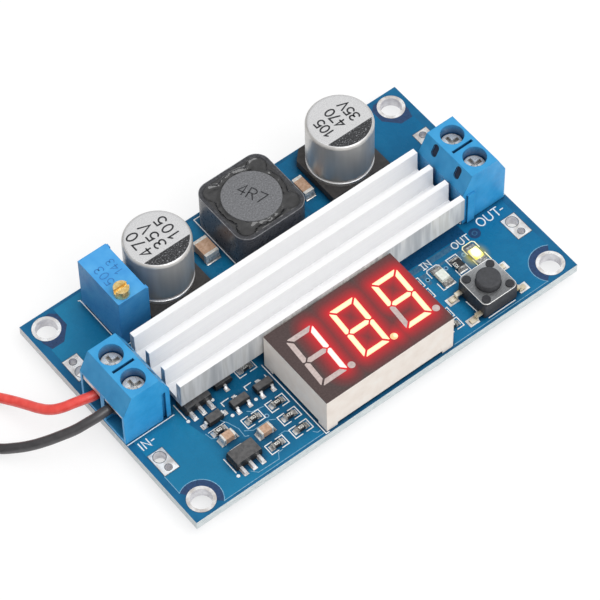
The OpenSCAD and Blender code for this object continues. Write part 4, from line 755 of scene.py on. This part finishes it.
def filled(name, outlines, look):
    """Area of the board with holes: the first outline is its edge, the others are cut out."""
    data = bpy.data.curves.new(name, "CURVE")
    data.dimensions = "2D"
    data.fill_mode = "BOTH"
    for outline in outlines:
        line = data.splines.new("POLY")
        line.points.add(len(outline) - 1)
        line.use_cyclic_u = True
        for knot, (x, y) in zip(line.points, outline):
            knot.co = (x, y, 0, 1)
    shape = add_object(name + "_outline", data)
    bpy.context.view_layer.update()
    made = bpy.data.meshes.new_from_object(shape.evaluated_get(bpy.context.evaluated_depsgraph_get()))
    verts = [(v.co.x, v.co.y, POUR_Z) for v in made.vertices]
    faces = [list(p.vertices) for p in made.polygons]
    bpy.data.objects.remove(shape)
    mesh_piece(name, verts, faces, look)


# Copper areas under the mask, open at the wire holes and round the front mounting holes
CLEAR_R, RIM = 3.15, 1.9
left_clear = [(-HOLE[0] + x, -HOLE[1] + y) for x, y in arc(0, 0, CLEAR_R, CLEAR_R, 123.7, -43, 24)]
right_clear = [(HOLE[0] + x, -HOLE[1] + y) for x, y in arc(0, 0, CLEAR_R, CLEAR_R, 223, 56.3, 24)]


def wire_holes(sx, sy):
    return [round_hole(sx * WIRE_X, sy * y, r + 0.05) for y, r in WIRE_HOLES]


COPPER = {
    "back_left": [pts("-28.5 20, -28.5 16.7, -30.5 14.6, -32.75 14.6, -32.75 5.8, -25.6 5.8, -25.6 6.4, -3.9 6.4, "
                      "-3.9 20")] + wire_holes(-1, 1),
    "back_middle": [pts("-3.3 20, -3.3 6.4, 9.9 6.4, 9.9 20")],
    "back_right": [pts("10.4 20, 10.4 6.4, 25.4 6.4, 25.4 5.6, 32.75 5.6, 32.75 14.6, 30.5 14.6, 28.5 16.7, "
                       "28.5 20")] + wire_holes(1, 1),
    "front_left": [
        pts("-32.95 -4.7") + left_clear + pts("-11.6 -20.05, -11.6 -3.4, -25.5 -3.4, -25.5 -4.7"),
        pts("-25.2 -3.9, -25.2 -7.3, -24.7 -9.5, -23.9 -11.3, -21 -11.6, -20.9 -10.4, -21.6 -9.1, -20.4 -7.4, "
            "-19.7 -6.4, -19.7 -3.9"),
        pts("-24.9 -14.6, -24.9 -18.2, -20 -18.2, -20 -16.9, -20.4 -14.6"),
        pts("-19.4 -7.6, -19.4 -10.4, -16 -10.4, -16 -7.6"),
        pts("-15.2 -7.6, -15.2 -10.4, -11.9 -10.4, -11.9 -7.6"),
        pts("-19.3 -14.2, -19.3 -15.7, -16.3 -15.7, -16.3 -14.2")] + wire_holes(-1, -1),
    "front_right": [pts("32.95 -4.7, 32.95 -15.28") + right_clear[::-1]
                    + pts("11.8 -20.05, 11.8 -3.4, 25.2 -3.4, 25.2 -4.7")] + wire_holes(1, -1),
}
for label, outlines in COPPER.items():
    filled("copper_" + label, outlines, POUR)

# Darker areas round the mounting holes, without copper on either side of the board
rim = arc(0, 0, RIM, RIM, -43, 123.7, 24)
filled("clear_front_left", [left_clear + [(-HOLE[0] + x, -HOLE[1] + y) for x, y in rim]], DARK)
filled("clear_front_right", [right_clear + [(HOLE[0] - x, -HOLE[1] + y) for x, y in rim[::-1]]], DARK)
BACK_CLEAR = pts("28.5 19, 28.5 16.7, 30.5 14.6, 32.5 14.6, 33 16.2, 32.8 18.6, 31.8 19.8, 29.4 19.8")
for side, label in ((-1, "left"), (1, "right")):
    filled("clear_back_" + label, [[(side * x, y) for x, y in BACK_CLEAR], round_hole(side * HOLE[0], HOLE[1], RIM)],
           DARK)

# Edges of the copper, pale under the mask and carrying a painted sheen, and rings of the vias
FINE = 0.11
VIAS, VIA_R = pts("22.55 -9.08, 19.09 -9.31, 15.78 -9.25, -20.6 -16.4, -16 -12.9"), 0.2
lines = Flat(LINE_Z)
lines.line(pts("-32.95 -11.95") + left_clear + pts("-11.6 -20.05"), FINE)
lines.line(pts("11.8 -20.05") + right_clear + pts("32.95 -15.28"), FINE)
for line in ("-21.7 -9.1, -20.9 -10.4, -20.3 -12.1, -20.4 -13.7, -19.9 -13.9", "-24.4 -10, -24.2 -11.1, -23.5 -11.5",
             "-23.2 -18.6, -22.5 -19.4, -19 -19.5, -18.4 -18.6, -17.6 -18.55",
             "-17.7 -10.6, -17.1 -11.1, -15.3 -11.4", "-12.6 -18.9, -12.2 -19.4, -11.7 -19.4",
             "-19.9 -12.9, -18.9 -13.6, -16.2 -13.6, -15.4 -14.1", "-16.6 -16.4, -15.6 -16.4, -15.1 -16.9"):
    lines.line(pts(line), FINE)
for x, y in VIAS:
    lines.ring(x, y, VIA_R, 0.36, 20)
lines.piece("copper_edges", EDGE_LINE, "board")

# Painted shade: dark lines along the edges of the wire pads and round their holes
edges = Flat(PAD_TOP + 2 * HAIR)
for sx, sy in CORNERS:
    for y, r in WIRE_HOLES:
        edges.ring(sx * WIRE_X, sy * y, r, r + 0.09)
    edges.line([(sx * (WIRE_X + u * PAD_HALF[0]), sy * (PAD_Y + v * PAD_HALF[1]))
                for u, v in SQUARE + SQUARE[:1]], 0.07)
edges.piece("wire_pad_shades", PAD_SHADE, "board")

# Tracks, dark spots, and a strip of painted shade from the heatsink on the board beside the meter
SPOT = (26.17, -7.15)
bands = Flat(TRACK_Z)
for line, w in (("12.375 -6.95, 24.4 -6.95", 0.95), ("12.1 -8.3, 21.4 -8.3", 0.4), ("22.3 -8.6, 22.3 -11.3", 0.9),
                ("15.7 -8.6, 15.7 -9.8", 0.7)):
    bands.line(pts(line), w)
bands.ring(*SPOT, 0.3, 0.42, 24)
bands.piece("copper_tracks", BAND, "board")

dark = Flat(TRACK_Z)
dark.disc(*SPOT, 0.92, 32)
for x, y in VIAS:
    dark.disc(x, y, VIA_R)
dark.piece("clear_spots", DARK, "board")
# painted shade under the heatsink's front
shade = Flat(TRACK_Z - HAIR)
shade.area(pts("11.9 -6.3, 25.1 -6.3, 25.1 -3.6, 11.9 -3.6"))
shade.piece("heatsink_shade_strip", HEATSINK_SHADE, "board")

# White print: boxes of chips and lamps, outlines and pin dots, lettering
W, DOT_R = 0.16, 0.27
silk, lit_silk = Flat(SILK_Z), Flat(SILK_Z)
HALF_BOX = pts("0.35 0.85, 1.5 0.85, 1.5 -0.85, 0.35 -0.85")
for x, y in BOXED_CHIPS:
    for s in (-1, 1):
        silk.line([(x + s * u, y + v) for u, v in HALF_BOX], W)
LAMP_BOX = ("-1.1 0.6, -1.1 1.75, -0.8 2.05, 0.8 2.05, 1.1 1.75, 1.1 0.6",
            "-1.1 -0.6, -1.1 -2.05, 1.1 -2.05, 1.1 -0.6")
CHIP_SIDE = pts("-0.9 0.45, -0.9 1.75, 0.9 1.75, 0.9 0.45")
for x, ink in ((17.53, silk), (24.07, lit_silk)):
    for line in LAMP_BOX:
        ink.line([(x + u, LAMP_ROW + v) for u, v in pts(line)], W)
# the lit lamp's box carries painted light from the lamp
lit_silk.piece("lit_lamp_print", LIT_INK, "display_case")
for s in (-1, 1):
    silk.line([(LAMP_CHIP_X + u, LAMP_ROW + s * v) for u, v in CHIP_SIDE], W)
for line in (  # a single point is a dot
        "-24.65 18.8, -24.65 8.6, -19.4 8.6", "-24.9 18.9, -24.65 18.8",
        "-2.5 19.85, -3.65 19.85, -3.65 8, 8.45 8, 8.45 19.85, 7.3 19.85",
        "-33.85 -4.75, -25.9 -4.75", "-33.85 5.75, -25.9 5.75", "25.6 -4.55, 33.85 -4.55", "25.6 4.95, 33.85 4.95",
        "-11.4 -5.9, -11.4 -20.3, -10.9 -20.3", "11.65 -5.9, 11.65 -8", "-25 -3.5, -25 -6.4",
        "-24.95 -14.8, -24.95 -17.55", "-25 -6.85", "-25 -18.15", "-20.24 -6.15", "-19.64 -9.9", "-15.5 -9.85",
        "-15.55 -7.9, -15.55 -7.2, -14.4 -7.2", "-19.65 -8, -19.65 -7.3, -18.4 -7.3", "-12.1 -7.4, -12.1 -7.9",
        "17.65 -15.5, 17.75 -17.7", "18.4 -19.62, 23.2 -19.62", "18.4 -13.15, 23.2 -13.15"):
    points = pts(line)
    if len(points) == 1:
        silk.disc(*points[0], DOT_R, 18)
    else:
        silk.line(points, W)
silk.line(pts("-24 -10.1, -21.2 -10.1"), 0.12)
for row in (
        ("IN-", -32.75, -6.75, 1.3, 0.2), ("IN+", -32.75, 6.3, 1.3, 0.2), ("OUT", 27.55, -6.9, 1.42, 0.2),
        ("-", 31.58, -6.95, 1.42, 0.2), ("OUT+", 27.45, 6, 1.35, 0.2), ("iN", 16.4, -7.6, 1.05, 0.17),
        ("OUT", 22.1, -7.6, 1.1, 0.17)):
    silk.text(*row)
silk.piece("board_print", SILK, "display_case")


# Plated walls of the mounting and wire holes

def barrels():
    verts, faces = [], []
    places = [(sx * HOLE[0], sy * HOLE[1], HOLE_R) for sx, sy in CORNERS]
    places += [(sx * WIRE_X, sy * y, r) for sx, sy in CORNERS for y, r in WIRE_HOLES]
    wall = ((1.57, 0), (1.75, 0.02), (2.4, 0.025), (3.05, 0.02), (3.245, 0))
    n = 40
    for x, y, r in places:
        first = len(verts)
        for z, inset in wall:
            verts += [(px, py, z) for px, py in round_hole(x, y, r - inset, n)]
        faces += [(d, a, b, c) for a, b, c, d in net(first, len(wall), n, round_cols=True)]
    mesh_piece("hole_plating", verts, faces, BARREL, smooth=True)


barrels()


# Solder fillets: a hollow slope from each end cap down to its land

def fillets():
    verts, faces = [], []
    steps, across = 6, (-1, -0.5, 0.5, 1)

    def slope(x, y, turn, half_w, height, reach):
        c, s = cos(turn), sin(turn)
        first = len(verts)
        for k in range(steps + 1):
            t = k / steps
            out = reach * t
            z = PAD_TOP + height * (1 - t) ** 2.1
            half = half_w * (1 + 0.1 * sin(pi * t))
            for side in across:
                lift = z - (0.04 if abs(side) == 1 else 0) * (1 - t)
                verts.append((x + out * c - side * half * s, y + out * s + side * half * c,
                              max(lift, PAD_TOP + 0.002)))
        faces.extend(net(first, steps + 1, len(across)))

    def pair(x, y, end, turn, *size):
        """Fillets at both ends of a part that lies along X, or along Y when it is turned."""
        for s, way in ((1, turn), (-1, turn - pi if turn else pi)):
            slope(x + (0 if turn else s * end), y + (s * end if turn else 0), way, *size)

    along_y = pi / 2
    for x, y in ALL_CHIPS:
        pair(x, y, 0.79, 0, 0.42, 0.34, 0.42)
    for x, y in SMALL_CERAMICS:
        pair(x, y, 0.99, 0, 0.64, 0.6, 0.43)
    for x, half in LARGE_CERAMICS:
        pair(x, LARGE_CERAMIC_Y, 1.59, along_y, half, 0.8, 0.43)
    for x in LAMPS:
        pair(x, LAMP_Y, 1.62, along_y, 0.7, 0.22, 0.36)
    pair(LAMP_CHIP_X, LAMP_ROW, 0.99, along_y, 0.64, 0.4, 0.43)
    mesh_piece("solder_fillets", verts, faces, SOLDER, smooth=True)


fillets()


# Plated ends of the two lamps

def lamp_ends():
    verts, faces = [], []
    foot = 3.26
    profile = ((0.98, 3.6), (1.5, 3.6), (1.59, 3.575), (1.62, 3.5), (1.63, foot))
    across = (-0.82, -0.78, 0.78, 0.82)
    n = len(profile)
    for x in LAMPS:
        for s in (-1, 1):
            first = len(verts)
            for u in across:
                drop = 0.04 if abs(u) > 0.8 else 0
                verts += [(x + u, LAMP_Y + s * v, max(z - drop, foot)) for v, z in profile]
            skin = net(first, len(across), n)
            faces += skin if s > 0 else turned_over(skin)
            for i in (0, len(across) - 1):
                base = len(verts)
                edge = [first + i * n + j for j in range(n)]
                verts.append((verts[edge[0]][0], LAMP_Y + s * profile[0][0], foot))
                faces.append(edge + [base] if (i == 0) == (s > 0) else [base] + edge[::-1])
    mesh_piece("lamp_end_plating", verts, faces, CHIP_END)


lamp_ends()


# Codes on the chip resistors, and lettering on the trimmer, the cans and the inductor
CHIP_CODES = ("103", "472", "103", "224", "103", "153")
lettering("resistor_codes", CHIP_TOP + 0.005, [(CHIP_CODES[k % 6], x - 0.44, y - 0.2, 0.4, 0.1)
                                               for k, (x, y) in enumerate(ALL_CHIPS)],
          CODE, "display_case", space=0.2)
lettering("lamp_resistor_code", LAMP_CHIP_TOP + 0.005, [("103", LAMP_CHIP_X - 0.3, LAMP_ROW - 0.62, 0.5, 0.09)],
          CODE, "display_case", angle=90, space=0.2)
lettering("trimmer_lettering", TRIMMER_TOP + 0.008,
          [("503", -22.5, 12.5, 1.35, 0.15), ("143", -20.55, 13.2, 1.2, 0.13)],
          BLUE_INK, "trimmer_plastic", angle=90, space=0.3)


def can_print(name, x, y):
    """Black part of a can's top, following its flat face and rounded edge."""
    flat_r, round_r, edge, start = 4.4, 0.6, 4.62, -2.35

    def height(r):
        return CAN_TOP - round_r + sqrt(max(0, round_r ** 2 - max(0, r - flat_r) ** 2))

    verts = []
    rows, cols = 26, 48
    for j in range(rows + 1):
        v = start - (edge + start - 0.02) * j / rows
        half = sqrt(max(0, edge ** 2 - v ** 2))
        for i in range(cols + 1):
            u = half * (2 * i / cols - 1)
            verts.append((x + u, y + v, height(hypot(u, v)) + 0.014))
    mesh_piece(name, verts, list(net(0, rows + 1, cols + 1)), PRINT, smooth=True)


# Lines of the cans' lettering: the can's place, words and their places from its middle, height and spacing
CAN_WORDS = {
    "input": (-13.8, (("470", -1.78, -1.6), ("35V", 0.55, -1.6), ("105", 3, -1.5)), 1.7, 0.38),
    "output": (18.8, (("105", -1.82, -1.2), ("470", 0.53, -0.9), ("35V", 2.88, -1.15)), 1.5, 0.2),
}
for label, (x, words, h, space) in CAN_WORDS.items():
    can_print(label + "_can_print", x, CAN_Y)
    lettering(label + "_can_lettering", CAN_TOP + 0.012, [(word, x + u, CAN_Y + v, h, 0.25) for word, u, v in words],
              INK, "black_moulding", angle=90, space=space)
lettering("inductor_number", DRUM_TOP + 0.012, [("4R7", 1.05, 15.75, 1.8, 0.19)], INK, "black_moulding",
          angle=-67, space=0.25)


# Painted shade: dark floors of the probe slots and dark rims round them in the blocks' sloped backs; and metal guards
# over their wire entries

def slot_outline(half, r):
    return ([(half + u, v) for u, v in arc(0, 0, r, r, -90, 90, 12)]
            + [(u - half, v) for u, v in arc(0, 0, r, r, 90, 270, 12)])


def slot_shades():
    """Painted shade: a dark floor in each slot, and a dark rim painted round it on the slope."""
    verts, faces = [], []
    rows = ((slot_outline(0.6, 0.385), 2.85, 8.873), (slot_outline(0.6, 0.39), 2.9233, 8.9077),
            (slot_outline(0.5, 0.55), 2.9233, 8.9077))
    slope_x, slope_z = 0.4251, 0.9051
    n = len(rows[0][0])
    for x, y, side, _ in POLES:
        first = len(verts)
        for shape, out, up in rows:
            verts += [(x + side * (out + slope_x * u), y + v, TOP + up - slope_z * u) for u, v in shape]
        made = [range(first, first + n), *net(first + n, 2, n, round_cols=True)]
        faces += made if side > 0 else [f[::-1] for f in made]
    mesh_piece("probe_slot_shades", verts, faces, SLOT_SHADE)


def entry_guards():
    """Bent sheets over the wire entries; one of them ends higher, above the black lead."""
    verts, faces = [], []
    half_width = 1.95
    for x, y, side, off in POLES:
        foot = 5.8 if side > 0 > off else 5.2
        sheet = ((-2.2, 6.4), (-3.6, 6.4), (-3.71, 6.37), (-3.78, 6.29), (-3.8, 6.18), (-3.8, foot + 0.04),
                 (-3.66, foot), (-3.66, 6.14), (-3.63, 6.21), (-3.56, 6.24), (-2.2, 6.24))
        first, n = len(verts), len(sheet)
        for half in (-half_width, half_width):
            verts += [(x + side * u, y + half, TOP + v) for u, v in sheet]
        skin = net(first, 2, n, round_cols=True)
        faces += turned_over(skin) if side > 0 else [(d, a, b, c) for a, b, c, d in skin]
        near, far = range(first, first + n), range(first + n, first + 2 * n)
        faces += [near[::-1], far] if side > 0 else [near, far[::-1]]
    mesh_piece("entry_guards", verts, faces, GUARD)


slot_shades()
entry_guards()


# Painted highlights: bright beads along the edges of the button's cover and of the inductor's shield

def highlight_bead(name, middle, half, corner, z, r, look):
    """Thin bright bead along a rounded square: a painted highlight."""
    x, y = middle
    path = []
    for sx, sy, turn in ((1, 1, 0), (-1, 1, 90), (-1, -1, 180), (1, -1, 270)):
        path += arc(x + sx * (half - corner), y + sy * (half - corner), corner, corner, turn, turn + 90, 10)
    verts = []
    n, m = len(path), 8
    for k, (px, py) in enumerate(path):
        ahead = Vector(path[(k + 1) % n]) - Vector(path[k - 1])
        out = Vector((ahead.y, -ahead.x)).normalized() * r
        for j in range(m):
            t = 2 * pi * j / m
            verts.append((px + out.x * cos(t), py + out.y * cos(t), z + r * sin(t)))
    mesh_piece(name, verts, list(net(0, n, m, True, True)), look, smooth=True)


highlight_bead("button_cover_highlight", BUTTON, 3, 0.8, 6.32, 0.055, SCREW)
highlight_bead("inductor_shield_highlight", INDUCTOR, 5.96, 2.16, DRUM_TOP - 0.16, 0.06, SHIELD_HIGHLIGHT)


# Lacquer between the inductor's drum and shield, with blobs in the corner pockets

def lacquer_ring():
    drum_r, bore, pocket_r = 4.38, 5.25, 1.5
    pocket = bore * cos(pi / 4) + 0.1
    film_side, film_r = 5.42, 1.75
    verts = []
    around, across, over = 144, 8, 4

    def edge(a):
        """Reach of the open space from the drum's middle at an angle."""
        near = pi / 4 + pi / 2 * int(a / (pi / 2))
        px, py = pocket * sqrt(2) * cos(near), pocket * sqrt(2) * sin(near)
        along = px * cos(a) + py * sin(a)
        off = px * px + py * py - along * along
        return max(bore, along + sqrt(pocket_r ** 2 - off)) if off < pocket_r ** 2 else bore

    def film(a):
        """Reach of the film over the shield's top: a rounded square."""
        c, s = abs(cos(a)), abs(sin(a))
        low, high = film_side, film_side * 1.42
        for _ in range(24):
            r = (low + high) / 2
            out = hypot(max(r * c - film_side + film_r, 0), max(r * s - film_side + film_r, 0))
            low, high = (r, high) if out <= film_r else (low, r)
        return low

    for k in range(around):
        a = 2 * pi * k / around
        outer = edge(a) + 0.02
        for j in range(across + 1):
            t = j / across
            r = drum_r + (outer - drum_r) * t
            p = Vector((r * cos(a), r * sin(a), 0))
            wave = noise.noise(p * 1.1) * 0.22 + noise.noise(p * 2.6) * 0.11
            rise = 0.22 * (2 * t - 1) ** 2
            z = DRUM_TOP - 0.42 + rise + wave * sin(pi * t)
            verts.append((*p.xy, min(z, DRUM_TOP - 0.1)))
        last = max(film(a), outer + 0.1)
        for j in range(over):
            t = j / (over - 1)
            r = outer + 0.05 + (last - outer - 0.05) * t
            p = Vector((r * cos(a), r * sin(a), 0))
            lump = 0.04 + 0.05 * noise.noise(p * 1.3)
            z = SHIELD_TOP + lump * (1 - (2 * t - 1) ** 2) + (0.015 if t < 1 else -0.01)
            verts.append((*p.xy, z))
    verts = [(INDUCTOR[0] + x, INDUCTOR[1] + y, z) for x, y, z in verts]
    faces = turned_over(net(0, around, across + 1 + over, round_rows=True))
    mesh_piece("inductor_lacquer", verts, faces, LACQUER, smooth=True)


lacquer_ring()


# Floor, and soft light

def make_stage():
    f = Finish("floor", spec=0)
    f.put("Roughness", 0.9)
    rays = [f.node("LightPath", f"Is {kind} Ray", {}) for kind in ("Camera", "Glossy", "Transmission")]
    seen = f.math("MAXIMUM", f.math("MAXIMUM", rays[0], rays[1]), rays[2])
    pale = f.ramp(f.noise(0.004, 2), "0.3 cdcdcd, 0.7 d1d1d1")
    f.put("Base Color", f.mix(seen, pale, rgb("9c9c9c")))
    f.glow((1, 1, 1, 1), f.math("MULTIPLY", seen, 0.7))
    size, level = 2.5, -0.00003
    data = bpy.data.meshes.new("floor")
    corners = [(size * u, size * v, level) for u, v in SQUARE]
    data.from_pydata(corners, [], [(0, 1, 2, 3)])
    data.materials.append(f.mat)
    floor = add_object("floor", data)


def make_light():
    world = bpy.data.worlds.new("studio")
    world.use_nodes = True
    tree = world.node_tree
    way = add_node(tree, "TexCoord", "Generated", {})
    brightest = Vector((0.1, -0.3, 1)).normalized()
    share = add_node(tree, "VectorMath", "Value", {0: way, 1: brightest}, operation="DOT_PRODUCT")
    back = tree.nodes["Background"]
    back.inputs["Color"].default_value = (1, 1, 1, 1)
    join(tree, add_node(tree, "MapRange", "Result", {"Value": share, "To Min": 0.4, "To Max": 0.98}),
         back.inputs["Strength"])
    scene.world = world
    data = bpy.data.lights.new("softbox", "AREA")
    data.shape = "SQUARE"
    data.size = 0.5
    data.energy = 1.75
    lamp = add_object("softbox", data)
    lamp.location = place = Vector((0.08, -0.32, 0.61))
    lamp.rotation_euler = (-place).to_track_quat("-Z", "Y").to_euler()


make_stage()
make_light()
